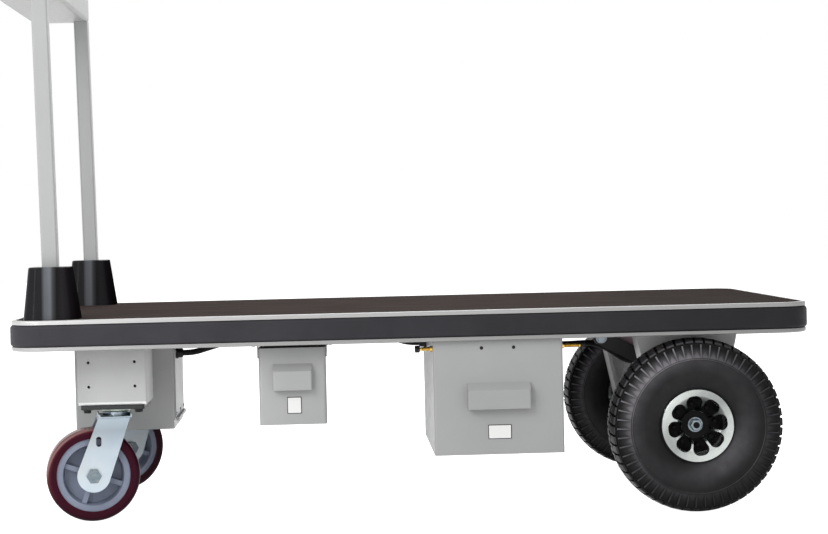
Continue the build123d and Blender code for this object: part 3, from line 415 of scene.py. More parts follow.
def paint_finish():
    """Grey powder coat: a fine orange peel and the faintest clouding."""
    finish = Finish("grey_paint", (180, 181, 181), 0.42, specular=0.3)
    finish.mottled(7, 4, (177, 178, 178), (184, 185, 185))
    # Dim close below the deck, and a little less light towards the powered wheels
    height = finish.along((0, 0, 1), 0.20, 0.40)
    finish.tone(height, (0.0, 1.0), (0.32, 1.0), (0.41, 0.9), (0.46, 1.0), (1.0, 1.0))
    finish.tone(
        finish.along(*ALONG_DECK), (0.0, 0.96), (0.08, 0.96), (0.12, 1.15), (0.2, 1.15), (0.35, 0.88),
        (0.6, 0.80), (1.0, 0.85),
    )
    # The light comes back off the floor into the folds, and less of it reaches the sides
    finish.tone(finish.facing((0, -0.7, -0.7), 0.82, 1.0), (0.0, 1.0), (0.4, 1.5), (1.0, 2.2))
    finish.tone(finish.facing((1, 0, 0)), (0.0, 0.78), (0.3, 1.0), (0.7, 1.0), (1.0, 1.25))
    finish.worn(90, 2, 0.36, 0.5)
    finish.soft_edges(0.0012)
    finish.grain(650, 1, 0.10, 0.0003)


def sleeve_finish():
    """Glossy black moulding with slight waves in its sides, a painted highlight band down its front and
    painted shade on the far sleeve.
    """
    finish = Finish("sleeve", (18, 18, 19), 0.16)
    # Painted reflection: a pale band down the front of each sleeve, where a strip lamp would show in it
    low, high = corners("sleeve_right")
    finish.colours(
        finish.along((1, 0, 0), low.x, high.x), (0.0, (30, 30, 32)), (0.36, (36, 36, 38)),
        (0.42, (94, 97, 102)), (0.52, (105, 108, 113)), (0.57, (62, 63, 65)), (0.64, (20, 19, 20)),
        (0.74, (32, 30, 33)), (1.0, (18, 15, 17)),
    )
    finish.tone(finish.noise(40, 4, (1, 1, 0.2)), (0.0, 0.7), (1.0, 1.3))
    # Painted shade: the far sleeve darker
    finish.tone(finish.along(*ACROSS_DECK), (0.0, 1.0), (0.4, 1.0), (1.0, 0.7))
    finish.roughness(finish.noise(50, 4, (1, 1, 0.3)), 0.14, 0.24)
    finish.link(finish.ranged(finish.facing((1, 0, 0)), 0.08, 0.0, 0.6, 0.8), "Specular IOR Level")
    finish.bump(finish.noise(26, 2, (1, 1, 0.25)), 0.05, 0.002)


def fascia_finish():
    finish = Finish("fascia", (52, 52, 55), 0.55)
    finish.mottled(30, 3, (46, 46, 49), (56, 56, 59))
    finish.bump(finish.cells(1100), 0.3, 0.0003)
    finish.soft_edges(0.0008)


def bar_finish():
    """Bright plated tube."""
    finish = Finish("bar", (205, 206, 209), 0.18, 1.0)
    finish.worn(60, 3, 0.12, 0.24)
    finish.bump(finish.noise(500, 2, (1, 0.05, 1)), 0.05, 0.0002)


def rubber_finish(name, colour, grain=900):
    finish = Finish(name, colour, 0.65, specular=0.12)
    finish.worn(80, 3, 0.55, 0.75)
    finish.bump(finish.noise(grain, 3), 0.25, 0.0003)


def moulded_finish(name, colour, roughness, grain=0.0002):
    finish = Finish(name, colour, roughness, specular=0.2)
    finish.worn(70, 3, roughness - 0.08, roughness + 0.08)
    finish.grain(1500, 2, 0.2, grain)
    finish.soft_edges(0.0006)


def zinc_finish():
    """Bright zinc plating: cloudy, with a cool and a warm cast, with painted light where it faces up and to
    the front and painted shade on the far side.
    """
    finish = Finish("zinc", (160, 172, 182), 0.32, 0.9)
    clouds = finish.noise(14, 2)
    finish.colours(clouds, (0.25, (152, 166, 178)), (0.5, (163, 173, 181)), (0.8, (172, 177, 176)))
    # Painted light: lighter where it faces up, to the front and the handle, darker where it faces away
    finish.tone(finish.facing((-0.4, -0.5, 0.7)), (0.0, 0.5), (0.6, 0.95), (1.0, 1.2))
    # The fork is dimmer where it comes out from under its box
    height = finish.along((0, 0, 1), 0.06, 0.20)
    finish.tone(height, (0.0, 1.15), (0.4, 1.0), (0.62, 0.72), (0.75, 0.9), (1.0, 0.9))
    # Painted shade: the far side darker
    finish.tone(finish.along(*ACROSS_DECK), (0.0, 1.0), (0.4, 0.95), (1.0, 0.35))
    finish.worn(60, 3, 0.28, 0.38)
    finish.soft_edges(0.0008)
    finish.grain(500, 2, 0.04, 0.0002)


def plate_finish():
    """The plates above the casters: dark, with a painted greenish-white highlight on the race below them."""
    finish = Finish("plate", (52, 54, 54), 0.4, 0.6)
    # Painted highlight on the race, low down; the plate above it dark
    finish.colours(
        finish.along((0, 0, 1), 0.17, 0.19), (0.0, (196, 206, 196)), (0.62, (178, 190, 180)),
        (0.66, (40, 41, 42)), (1.0, (52, 53, 54)),
    )
    finish.worn(60, 3, 0.34, 0.46)
    finish.soft_edges(0.0008)


def nut_finish():
    """Blue zinc plating, a little darker than the sheet parts, with painted light and shade."""
    finish = Finish("plated_nut", (110, 128, 138), 0.2, 1.0)
    clouds = finish.noise(120, 2)
    finish.colours(clouds, (0.25, (90, 102, 112)), (0.55, (104, 113, 117)), (0.8, (126, 130, 126)))
    # Painted light: lighter where it faces up and to the front, darker where it faces away
    finish.tone(finish.facing((-0.4, -0.6, 0.7)), (0.0, 0.25), (0.7, 0.9), (1.0, 1.8))
    # Painted shade: the far side darker
    finish.tone(finish.along(*ACROSS_DECK), (0.0, 1.0), (0.4, 0.95), (1.0, 0.25))
    finish.worn(300, 3, 0.14, 0.28)
    finish.soft_edges(0.0005)


def tread_finish():
    """Dark red glossy polyurethane, with a painted pale highlight where it faces up, to the front and the
    handle.
    """
    finish = Finish("tread", (52, 10, 26), 0.24, specular=0.06)
    # Painted highlight: paler and pinker where it faces up, to the front and the handle
    finish.colours(
        finish.facing((-0.55, -0.45, 0.65), 0.1, 1.0), (0.0, (44, 8, 24)), (0.3, (56, 10, 28)),
        (0.62, (84, 34, 42)), (0.8, (146, 112, 112)), (1.0, (116, 78, 80)),
    )
    finish.worn(90, 4, 0.2, 0.32)
    finish.grain(160, 3, 0.05, 0.0004)


def tyre_finish():
    """Black rubber, satin, with painted shade deep in the tread's grooves and low down, and painted
    highlights on the rib tops and the raised ring.
    """
    finish = Finish("tyre", (44, 43, 45), 0.42, specular=0.12)
    finish.colours(finish.noise(60, 6), (0.3, (39, 38, 40)), (0.6, (46, 45, 47)), (0.85, (54, 52, 52)))
    # Painted shade deep in the grooves; painted highlights on the rib tops and the raised ring
    finish.tone(finish.groove(), (0.0, 3.0), (0.25, 1.8), (0.5, 1.0), (1.0, 0.12))
    # The light rakes across it from above on the handle's side
    raked = finish.facing((-0.4, -0.8, 0.45), 0.72, 1.0)
    finish.tone(raked, (0.0, 0.45), (0.35, 0.85), (0.6, 1.3), (1.0, 2.6))
    # Painted shade low down away from the handle, where the tyre meets the floor, and painted light high up
    # on the handle's side
    rise = finish.across_wheel((-0.55, 0, 0.8), tyre_r)
    finish.tone(rise, (0.0, 0.2), (0.08, 0.3), (0.2, 1.0), (0.5, 1.0), (1.0, 1.5))
    finish.worn(45, 5, 0.36, 0.56)
    finish.grain(500, 4, 0.18, 0.0004)


def rim_finish():
    """Polished cast aluminium with turning marks, and painted reflections: dark where it faces down, bright
    where it faces up, lighter to the upper left and lower right.
    """
    finish = Finish("rim", (158, 162, 160), 0.2, 1.0)
    # Painted reflection: dark where it faces down, bright where it faces up
    up = finish.facing((0.35, 0.0, 1.0))
    finish.tone(up, (0.0, 0.08), (0.35, 0.10), (0.47, 0.35), (0.5, 1.0), (0.56, 1.5), (1.0, 2.2))
    # Painted reflection: lighter to the upper left and lower right
    rise = finish.across_wheel((-1, 0, 1), rim_r)
    finish.tone(rise, (0.0, 1.2), (0.25, 1.0), (0.5, 0.62), (0.75, 0.75), (1.0, 1.4))
    finish.worn(150, 4, 0.14, 0.3)
    finish.soft_edges(0.0008)
    finish.grain(700, 2, 0.06, 0.0002)


def hub_finish():
    finish = Finish("hub", (18, 17, 18), 0.45, specular=0.06)
    finish.worn(60, 4, 0.32, 0.5)
    finish.grain(400, 3, 0.3, 0.0004)
    finish.soft_edges(0.0006)


def brass_finish():
    """Yellow passivated fittings."""
    finish = Finish("yellow_zinc", (206, 172, 88), 0.28, 1.0)
    finish.colours(finish.noise(90, 4), (0.3, (186, 150, 70)), (0.6, (214, 182, 98)), (0.85, (222, 200, 150)))
    finish.worn(150, 3, 0.2, 0.4)


def sign_finish():
    """A bare white plate."""
    finish = Finish("sign", (236, 236, 234), 0.35)
    finish.worn(80, 3, 0.3, 0.42)


def make_finishes():
    """One finish for each material slot of the record, and a few for what is added here."""
    for make in (
        mat_finish, trim_finish, bumper_finish, paint_finish, sleeve_finish, fascia_finish, bar_finish,
        zinc_finish, plate_finish, nut_finish, tread_finish, tyre_finish, rim_finish, hub_finish,
        brass_finish, sign_finish,
    ):
        make()
    # The hangers and cross tubes stand in the deck's shade, so their paint is lighter here
    for row in (
        ("board", (58, 57, 58), 0.6, 0.0, 0.5, (30, 5, (50, 49, 50), (66, 65, 66), 0.75),
         (900, 2, 0.25, 0.0003)),
        ("frame", (70, 70, 72), 0.5, 0.0, 0.5, (24, 4, (62, 62, 64), (76, 76, 78)),
         (700, 2, 0.2, 0.0002), 0.0008),
        ("hanger", (214, 215, 215), 0.42, 0.0, 0.3, (9, 4, (208, 209, 209), (220, 221, 221)),
         None, 0.0012),
        ("crossmember", (176, 156, 162), 0.5, 0.0, 0.2, (20, 4, (168, 148, 154), (184, 164, 170)),
         None, 0.0008),
        ("core", (134, 142, 160), 0.42, 0.0, 0.25, (25, 3, (126, 134, 153), (140, 148, 166)),
         (600, 2, 0.12, 0.0003), 0.0010),
        ("axle", (72, 72, 75), 0.55, 0.2, 0.5, (30, 5, (62, 62, 65), (84, 84, 87), 0.75),
         (420, 5, 0.45, 0.0005), 0.001),
        ("bracket", (30, 26, 29), 0.5, 0.0, 0.5, (20, 4, (26, 22, 25), (36, 32, 35)),
         (650, 1, 0.12, 0.0003), 0.001),
    ):
        coat_finish(*row)
    rubber_finish("grip", (44, 44, 45))
    rubber_finish("cable", (30, 30, 31), 600)
    for row in (
        ("control", (44, 44, 47), 0.45),
        ("gauge", (30, 34, 38), 0.14, 0.0),
        ("stop_red", (196, 30, 26), 0.3),
        ("motor", (38, 38, 40), 0.4, 0.0004),
        ("battery", (50, 50, 54), 0.45),
        ("black", (22, 22, 24), 0.5),
        ("lamp_green", (60, 190, 90), 0.2, 0.0),
        ("lamp_amber", (232, 160, 40), 0.2, 0.0),
        ("lamp_red", (208, 40, 34), 0.2, 0.0),
        ("yellow", (228, 186, 40), 0.45, 0.0001),
        ("window", (16, 20, 24), 0.1, 0.0),
        ("tread_edge", (150, 34, 46), 0.35, 0.0001),
    ):
        moulded_finish(*row)


# Mesh helpers
class Shape:
    """Gathers the vertices and faces of one piece."""

    def __init__(self):
        self.vertices = []
        self.faces = []

    def add(self, vertices, faces):
        first = len(self.vertices)
        self.vertices += [Vector(v) for v in vertices]
        self.faces += [[first + i for i in face] for face in faces]

    def rings(self, rings, close=True, caps=False, around=True):
        """Skin a row of rings; close joins the last ring to the first, and around the ends of each."""
        count = len(rings[0])
        faces = []
        for row in range(len(rings) if close else len(rings) - 1):
            here = row * count
            there = ((row + 1) % len(rings)) * count
            for i in range(count if around else count - 1):
                j = (i + 1) % count
                faces.append((here + i, here + j, there + j, there + i))
        if caps:
            faces.append(tuple(reversed(range(count))))
            last = (len(rings) - 1) * count
            faces.append(tuple(range(last, last + count)))
        self.add([v for ring in rings for v in ring], faces)

    def lathe(self, profile, origin, axis, segments=48, close=False, caps=True):
        """Turn points (along the axis, radius) about it."""
        axis = Vector(axis).normalized()
        side = axis.orthogonal().normalized()
        other = axis.cross(side)
        origin = Vector(origin)
        rings = [circle(origin + axis * along, side, other, radius, segments) for along, radius in profile]
        self.rings(rings, close, caps and not close)

    def prism(self, outline, origin, x_dir, z_dir, depth, chamfer=0.0):
        """Raise a flat outline along z_dir, with its far edge cut by chamfer."""
        x_dir = Vector(x_dir).normalized()
        z_dir = Vector(z_dir).normalized()
        y_dir = z_dir.cross(x_dir)
        origin = Vector(origin)
        middle = Vector((
            sum(p[0] for p in outline) / len(outline), sum(p[1] for p in outline) / len(outline),
        ))
        levels = [(0.0, 0.0), (depth - chamfer, 0.0)]
        if chamfer:
            levels.append((depth, chamfer))
        rings = []
        for height, inset in levels:
            ring = []
            for point in outline:
                away = Vector(point) - middle
                point = middle + away * (1 - inset / max(away.length, 1e-9))
                ring.append(origin + x_dir * point.x + y_dir * point.y + z_dir * height)
            rings.append(ring)
        self.rings(rings, close=False, caps=True)

    def piece(self, name, slot, body="chassis", bevel=0.0, replaces=(), smooth=40):
        mesh = bpy.data.meshes.new(name)
        mesh.from_pydata(self.vertices, [], self.faces)
        mesh.materials.append(FINISHES[slot])
        obj = bpy.data.objects.new(name, mesh)
        bpy.context.scene.collection.objects.link(obj)
        bpy.context.view_layer.objects.active = obj
        obj.select_set(True)
        bpy.ops.object.mode_set(mode="EDIT")
        bpy.ops.mesh.select_all(action="SELECT")
        bpy.ops.mesh.normals_make_consistent(inside=False)
        bpy.ops.object.mode_set(mode="OBJECT")
        if bevel:
            modifier = obj.modifiers.new("edges", "BEVEL")
            modifier.width = bevel
            modifier.segments = 2
            modifier.limit_method = "ANGLE"
        bpy.ops.object.shade_auto_smooth(angle=math.radians(smooth))
        obj.select_set(False)
        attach(obj, body)
        if replaces:
            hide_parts(*replaces)
        return obj


def circle(centre, side, other, radius, segments):
    return [centre + side * x + other * y for x, y in polygon(segments, radius)]


def polygon(sides, radius, turn=0.0):
    return [
        (radius * math.cos(turn + 2 * math.pi * i / sides), radius * math.sin(turn + 2 * math.pi * i / sides))
        for i in range(sides)
    ]


def rounded(width, height, corner, steps=5):
    """A rectangle with round corners, about its middle."""
    points = []
    for corner_index, (sx, sy) in enumerate(((1, 1), (-1, 1), (-1, -1), (1, -1))):
        cx = sx * (width / 2 - corner)
        cy = sy * (height / 2 - corner)
        for step in range(steps + 1):
            angle = math.pi / 2 * (corner_index + step / steps)
            points.append((cx + corner * math.cos(angle), cy + corner * math.sin(angle)))
    return points


def corners(node):
    low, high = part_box(node)
    return Vector(low), Vector(high)


def middle(node):
    low, high = corners(node)
    return (low + high) / 2


def outer_y(node, side):
    low, high = corners(node)
    return high.y if side > 0 else low.y


def joint_at(name):
    return Vector(JOINTS[name]["pos_m"])


# The powered wheels' tyres
def arc_through(a, b, c, count):
    """Points along the arc from a through b to c, without a itself."""
    start, through, end = (complex(*point) for point in (a, b, c))
    share = (end - start) / (through - start)
    centre = start + (through - start) * (share - abs(share) ** 2) / (2j * share.imag)
    turn = cmath.phase((end - centre) / (start - centre))
    points = [centre + (start - centre) * cmath.rect(1, turn * i / count) for i in range(1, count + 1)]
    return [(point.real, point.imag) for point in points]


def flank_half(radius):
    """Half width of the tyre between the shoulder and the crown's edge."""
    share = (radius - shoulder_r) / (crown_edge_r - shoulder_r)
    return shoulder_half + share * (crown_edge_half - shoulder_half)


def crown_radius(across):
    """Radius of the tread's crown at a distance from the tyre's middle."""
    return tyre_r - (tyre_r - crown_edge_r) * (across / crown_edge_half) ** 2


def wall_rows():
    """Rows up the side wall, each (half width, radius, lift), with the raised ring at its top."""
    rows = [(bead_half, bead_r, 0), (bead_half, bead_top_r, 0)]
    widest = (tyre_half_widest, (bead_top_r + shoulder_r) / 2)
    wall = arc_through((bead_half, bead_top_r), widest, (shoulder_half, shoulder_r), 30)
    low = [(half, radius, 0) for half, radius in wall if radius < ring_low_r]
    top_half = low[-1][0]
    ring_half = flank_half(rib_low_r)
    rows += low
    slope = 0.0006
    for radius, lift in (
        (ring_low_r, 0), (ring_low_r + slope, ring_height),
        (ring_high_r - slope, ring_height), (ring_high_r, 0),
    ):
        share = (radius - low[-1][1]) / (rib_low_r - low[-1][1])
        rows.append((top_half + share * (ring_half - top_half), radius, lift))
    return rows


def side_columns(share):
    """(phase, depth) across one lug at a share of the way out along the ribs."""
    depth = rib_groove_depth * min(1.0, 0.12 + share)
    spread = max(0.0, 1 - share / wedge_reach)
    wedge = rib_share + 0.04 + (1 - rib_share - 0.08) * 0.5
    half = (1 - rib_share - 0.12) / 2 * spread
    wedge_depth = depth * (1 - 0.9 * spread)
    return [
        (0.0, 0.0), (rib_share, 0.0), (rib_share + 0.03, depth), (wedge - half - 0.015, depth),
        (wedge - half, wedge_depth), (wedge + half, wedge_depth), (wedge + half + 0.015, depth),
        (0.97, depth),
    ]


ring_columns = [(i / 8, 0.0) for i in range(8)]


def block_columns(depth, lean):
    """(phase, depth) across one lug on the crown, where a slot parts the blocks."""
    half = block_groove_share / 2
    slot = 0.5 + lean
    return [
        (slot - 0.36, 0.0), (slot - 0.2, 0.0), (slot - half - 0.02, 0.0), (slot - half, depth),
        (slot + half, depth), (slot + half + 0.02, 0.0), (slot + 0.28, 0.0), (slot + 0.46, 0.0),
    ]


def tyre_rows():
    """Every row from the tread's middle to the bead: (half width, radius, lift, columns, zigzag)."""
    rows = []
    crown = [
        (0.0, 0.0, 0.5), (0.005, 0.0, 0.5),
        (zigzag_at - zigzag_groove_half - 0.0006, 0.0, 0.5), (zigzag_at - zigzag_groove_half, 1.0, 1.0),
        (zigzag_at + zigzag_groove_half, 1.0, 1.0), (zigzag_at + zigzag_groove_half + 0.0006, 0.0, 1.0),
        (0.018, 0.0, 1.0), (0.023, 0.0, 1.0), (0.028, 0.0, 1.0), (crown_edge_half, 0.0, 1.0),
    ]
    for across, groove, slot in crown:
        # The middle band has shallow slots, the outer bands deep ones that lean
        lean = 0.25 * across / crown_edge_half
        depth = block_groove_depth * slot
        lift = -block_groove_depth * groove
        wave = zigzag if 0.001 < across < 0.017 else 0.0
        rows.append((across, crown_radius(across), lift, block_columns(depth, lean), wave))
    for radius in (crown_edge_r - 0.001, block_start_r):
        rows.append((flank_half(radius), radius, 0, block_columns(block_groove_depth, 0.25), 0))
    for radius in reversed(side_groove_r):
        rows.append((flank_half(radius), radius, -side_groove_depth, ring_columns, 0))
    steps = 12
    for step in range(steps, -1, -1):
        share = step / steps
        radius = rib_low_r + share * (rib_high_r - rib_low_r)
        rows.append((flank_half(radius), radius, 0, side_columns(share), 0))
    for half, radius, lift in reversed(wall_rows()):
        rows.append((half, radius, lift, ring_columns, 0))
    return rows


def tyre_ring(row, side, centre, outward, grooves):
    """One ring of the tyre's surface on one half, with how deep each point lies added to grooves, for the
    tyre's painted shade and highlights.
    """
    half, radius, lift, columns, wave = row
    wall = radius < rib_low_r
    ribs = rib_low_r <= radius <= rib_high_r
    inward = Vector((half, radius - (bead_top_r + tyre_r) / 2))
    inward = -inward.normalized() if inward.length > 1e-9 else Vector((0, -1))
    ring = []
    for lug in range(lug_count):
        for phase, depth in columns:
            # The two halves of the tread stand half a lug apart
            angle = 2 * math.pi * (lug + phase + (0.5 if side < 0 else 0.0)) / lug_count
            swing = wave * (4 * abs(((phase + 0.25) % 1) - 0.5) - 1)
            total = max(depth, -lift) if lift < 0 else depth - lift
            # The wall takes a middle value and its raised ring a lower one, which the tyre's finish paints as
            # a highlight
            if wall:
                grooves.append(0.5 if lift == 0 else 0.3)
            elif ribs:
                grooves.append(min(1.0, 0.06 + 0.94 * total / rib_groove_depth))
            else:
                grooves.append(min(1.0, 0.55 + 0.45 * total / side_groove_depth))
            place = Vector((half + swing, radius)) + inward * total
            ring.append(
                centre + outward * side * place.x
                + Vector((math.cos(angle), 0, math.sin(angle))) * place.y
            )
    return ring


def make_tyres():
    for name, side in SIDES.items():
        centre = joint_at(f"drive_roll_{name}")
        outward = Vector((0, side, 0))
        shape = Shape()
        grooves = []
        rows = tyre_rows()
        for half in (1, -1):
            rings = [tyre_ring(row, half, centre, outward, grooves) for row in rows]
            shape.rings(rings, close=False)
        tyre = shape.piece(
            f"tyre_{name}", "tyre", f"drive_wheel_{name}", replaces=(f"drive_tyre_{name}",), smooth=28,
        )
        tyre.data.attributes.new(GROOVE, "FLOAT", "POINT").data.foreach_set("value", grooves)


# Fasteners
def hex_head(shape, at, z_dir, across, height, washer_r=0.0, washer_height=0.0, turn=0.0):
    """A washer and a hexagon nut or head with its corners cut."""
    at = Vector(at)
    z_dir = Vector(z_dir).normalized()
    if washer_r:
        cut = 0.0003
        washer = [(0, washer_r), (washer_height - cut, washer_r), (washer_height, washer_r - cut)]
        shape.lathe(washer, at, z_dir, 36)
    side = z_dir.orthogonal().normalized()
    outline = polygon(6, across / 2 / math.cos(math.pi / 6), turn)
    shape.prism(outline, at + z_dir * washer_height, side, z_dir, height, chamfer=height * 0.12)


def screw_head(shape, at, z_dir, radius, height):
    """A low domed screw head."""
    steps = 5
    profile = [(0, radius)]
    for step in range(1, steps):
        angle = math.pi / 2 * step / steps
        profile.append((height * math.sin(angle), radius * math.cos(angle) ** 0.7))
    profile.append((height, radius * 0.25))
    shape.lathe(profile, at, z_dir, 20)


def screws(name, slot, spots, z_dir, radius, height):
    """Domed screw heads at each spot."""
    shape = Shape()
    for spot in spots:
        screw_head(shape, spot, z_dir, radius, height)
    shape.piece(name, slot)


def bolts(name, slot, spots, z_dir, across, height, washer_r=0.0, washer_height=0.0):
    """Hexagon heads at each spot."""
    shape = Shape()
    for index, spot in enumerate(spots):
        hex_head(shape, spot, z_dir, across, height, washer_r, washer_height, turn=0.4 * index)
    shape.piece(name, slot)


def ring_spots(centre, radius, degrees, across=(1, 0, 0)):
    """Places on an upright circle, at angles from the direction across."""
    return [
        centre + (Vector(across) * math.cos(turn) + Vector((0, 0, math.sin(turn)))) * radius
        for turn in map(math.radians, degrees)
    ]


def make_wheel_nuts():
    """The washers, nut and stud end in the middle of each powered wheel, the drum's bolts and the valve."""
    for name, side in SIDES.items():
        body = f"drive_wheel_{name}"
        outward = Vector((0, side, 0))
        centre = joint_at(f"drive_roll_{name}")
        start = Vector((centre.x, outer_y(f"drive_hub_{name}", side), centre.z)) - outward * stem_length
        shape = Shape()
        shape.lathe([(0, 0.0122), (0.0018, 0.0122), (0.0022, 0.0117)], start, outward, 40)
        shape.lathe([(0.0022, 0.0092), (nut_seat, 0.0092)], start, outward, 32)
        hex_head(shape, start + outward * nut_seat, outward, 0.0170, 0.0082, turn=0.3)
        shape.piece(f"wheel_nut_{name}", "plated_nut", body)

        drum = start - outward * drum_behind_nut
        shape = Shape()
        angles = [52.5 + 45 * turn for turn in range(8)]
        for turn, spot in enumerate(ring_spots(drum, drum_bolt_ring_r, angles)):
            hex_head(shape, spot, outward, 0.007, 0.004, 0.0055, 0.0008, turn=turn)
        ridge = [(0, 0.0412), (0.0022, 0.0408), (0.0022, 0.0392), (0, 0.0388)]
        shape.lathe(ridge, drum, outward, 64, close=True)
        shape.piece(f"drum_bolts_{name}", "hub", body)

        # The valve stands in the rim's inner side
        foot = centre - outward * 0.0290 + Vector((0, 0, 0.0440))
        valve = [(0, 0.004), (0.006, 0.004), (0.007, 0.0026), (0.014, 0.0026)]
        valve += [(0.0142, 0.0036), (0.021, 0.0034)]
        shape = Shape()
        shape.lathe(valve, foot, -outward, 20)
        shape.piece(f"valve_{name}", "black", body)


def sign(name, centre, width, height):
    """A bare plate in a thin dark rim on a face towards -Y."""
    for part, slot, grow, corner, thickness, chamfer in (
        (f"{name}_rim", "black", 2 * sign_rim, 0.0012, sign_thickness * 0.6, 0.0),
        (name, "sign", 0.0, 0.0010, sign_thickness, 0.0002),
    ):
        shape = Shape()
        outline = rounded(width + grow, height + grow, corner)
        shape.prism(outline, centre, (1, 0, 0), (0, -1, 0), thickness, chamfer)
        shape.piece(part, slot)


def make_battery_box_fittings():
    low, high = corners("battery_box")
    centre_x = (low.x + high.x) / 2
    sign("battery_sign", (centre_x + 0.0005, low.y, low.z + 0.0359), 0.0350, 0.0205)
    spots = [(centre_x + dx, low.y, high.z - 0.0122) for dx in (-0.0261, 0.0249)]
    screws("battery_screws", "black", spots, (0, -1, 0), 0.0028, 0.0012)
    # Lock bolts at the top of the battery box, one out of each side
    shape = Shape()
    knobs = Shape()
    for side, start, reach in ((-1, low.x, lock_length), (1, high.x, 1.5 * lock_length)):
        at = Vector((start, low.y + 0.016, high.z - 0.0125))
        out = Vector((side, 0, 0))
        profile = [(0.0, lock_r + 0.0012), (0.0040, lock_r + 0.0012)]
        for step in range(int((reach - 0.006) / lock_pitch)):
            along = 0.0042 + step * lock_pitch
            profile += [(along, lock_r), (along + lock_pitch / 2, lock_r - 0.0005)]
        profile.append((reach, lock_r - 0.0005))
        shape.lathe(profile, at, out, 20)
        knob = [(0, knob_r - 0.001), (0.001, knob_r), (0.007, knob_r), (0.008, knob_r - 0.001)]
        knobs.lathe(knob, at + out * reach, out, 24)
    shape.piece("lock_bolts", "yellow_zinc")
    knobs.piece("lock_knobs", "black")
    inset = 0.02
    rows = (low.y + inset, high.y - inset)
    spots = [(x, y, low.z) for x in (low.x + inset, centre_x, high.x - inset) for y in rows]
    screws("battery_side_screws", "zinc", spots, (0, 0, -1), 0.004, 0.0018)


def make_box_fittings():
    make_battery_box_fittings()
    low, high = corners("charger_box")
    centre_x = (low.x + high.x) / 2
    sign("charger_sign", (centre_x + 0.0021, low.y, low.z + 0.0310), 0.0208, 0.0245)
    rows = (low.y + 0.016, high.y - 0.016)
    spots = [(x, y, high.z - 0.002) for x in (low.x + 0.006, high.x - 0.006) for y in rows]
    screws("charger_screws", "zinc", spots, (0, 0, -1), 0.0040, 0.0022)

    low, high = corners("controller_lid")
    spots = [
        (high.x - lid_rim, y, z)
        for y in (low.y + 0.008, 0.0, high.y - 0.008) for z in (low.z + 0.012, high.z - 0.008)
    ]
    screws("lid_screws", "zinc", spots, (1, 0, 0), 0.0034, 0.0016)

    # Black vents on the controller box's far side
    low, high = corners("controller_box")
    shape = Shape()
    for row in range(6):
        at = ((low.x + high.x) / 2, high.y, low.z + 0.04 + vent_pitch * row)
        shape.prism(rounded(0.060, 0.0032, 0.0014), at, (1, 0, 0), (0, 1, 0), 0.0006)
    shape.piece("vents", "black")


def make_caster_bolts():
    plate_z = corners("caster_boxes")[0].z - plate_thickness
    for name in SIDES:
        pivot = joint_at(f"swivel_{name}")
        spots = [(pivot.x + dx, pivot.y + dy, plate_z) for dx in (-0.041, 0.041) for dy in (-0.047, 0.047)]
        bolts(f"plate_bolts_{name}", "black", spots, (0, 0, -1), 0.011, 0.0045, 0.0085, 0.0012)
        # The thin bright edge of the tread round the wheel's core
        centre = joint_at(f"caster_roll_{name}")
        axle = Vector(JOINTS[f"caster_roll_{name}"]["axis"]).normalized()
        edge = [(0.0200, 0.0590), (0.0222, 0.0592), (0.0226, 0.0600), (0.0222, 0.0608), (0.0200, 0.0610)]
        shape = Shape()
        for way in (-1, 1):
            shape.lathe(edge, centre, axle * way, 96, close=True)
        shape.piece(f"tread_edge_{name}", "tread_edge", f"caster_wheel_{name}")


def make_axle_fittings():
    for name, side in SIDES.items():
        low, high = corners(f"axle_hanger_{name}")
        outer = outer_y(f"axle_hanger_{name}", side)
        spots = [
            ((low.x + high.x) / 2 + dx, outer - side * dy, high.z - hanger_flange)
            for dx in (-0.048, 0.0, 0.048) for dy in (0.022, 0.046)
        ]
        bolts(f"hanger_bolts_{name}", "zinc", spots, (0, 0, -1), 0.013, 0.0055, 0.010, 0.0015)
        centre = joint_at(f"drive_roll_{name}")
        spots = ring_spots(Vector((centre.x, outer, centre.z)), 0.028, range(45, 360, 90))
        bolts(f"bearing_bolts_{name}", "zinc", spots, (0, side, 0), 0.008, 0.0035)

    axle = joint_at("drive_roll_left")
    motor_low, motor_high = corners("drive_motor")
    motor = (motor_low + motor_high) / 2
    face = motor_high.y + case_reach
    spots = ring_spots(Vector((axle.x, face, axle.z)), 0.052, (180, 210, 240, 270, 300, 330, 0))
    spots += ring_spots(Vector((motor.x, face, motor.z)), 0.038, (35, 90, 145))
    bolts("case_bolts", "zinc", spots, (0, 1, 0), 0.010, 0.0045, 0.0075, 0.001)
    plug = (axle.x, face - case_reach / 2, corners("axle_housing")[0].z + 0.0005)
    bolts("case_plug", "zinc", [plug], (0, 0, -1), 0.014, 0.005, 0.010, 0.0012)

    # Cooling fins round the motor between its bands
    start = motor_low.y + 0.040
    stop = motor_high.y - 0.016
    foot = (motor_high.z - motor_low.z) / 2 - 0.004
    tip = foot + 0.001 + fin_height
    shape = Shape()
    for row in range(int((stop - start) / fin_pitch)):
        at = (motor.x, start + row * fin_pitch, motor.z)
        shape.lathe([(0, foot), (0.0006, tip), (0.0024, tip), (0.003, foot)], at, (0, 1, 0), 72, close=True)
    shape.piece("motor_fins", "motor")

    low, high = corners("motor_bracket")
    reach = 0.0125
    spots = [(low.x + reach, low.y, high.z - reach), (high.x - reach, low.y, low.z + reach)]
    bolts("stay_bolts", "zinc", spots, (0, -1, 0), 0.013, 0.0055, 0.0095, 0.0014)


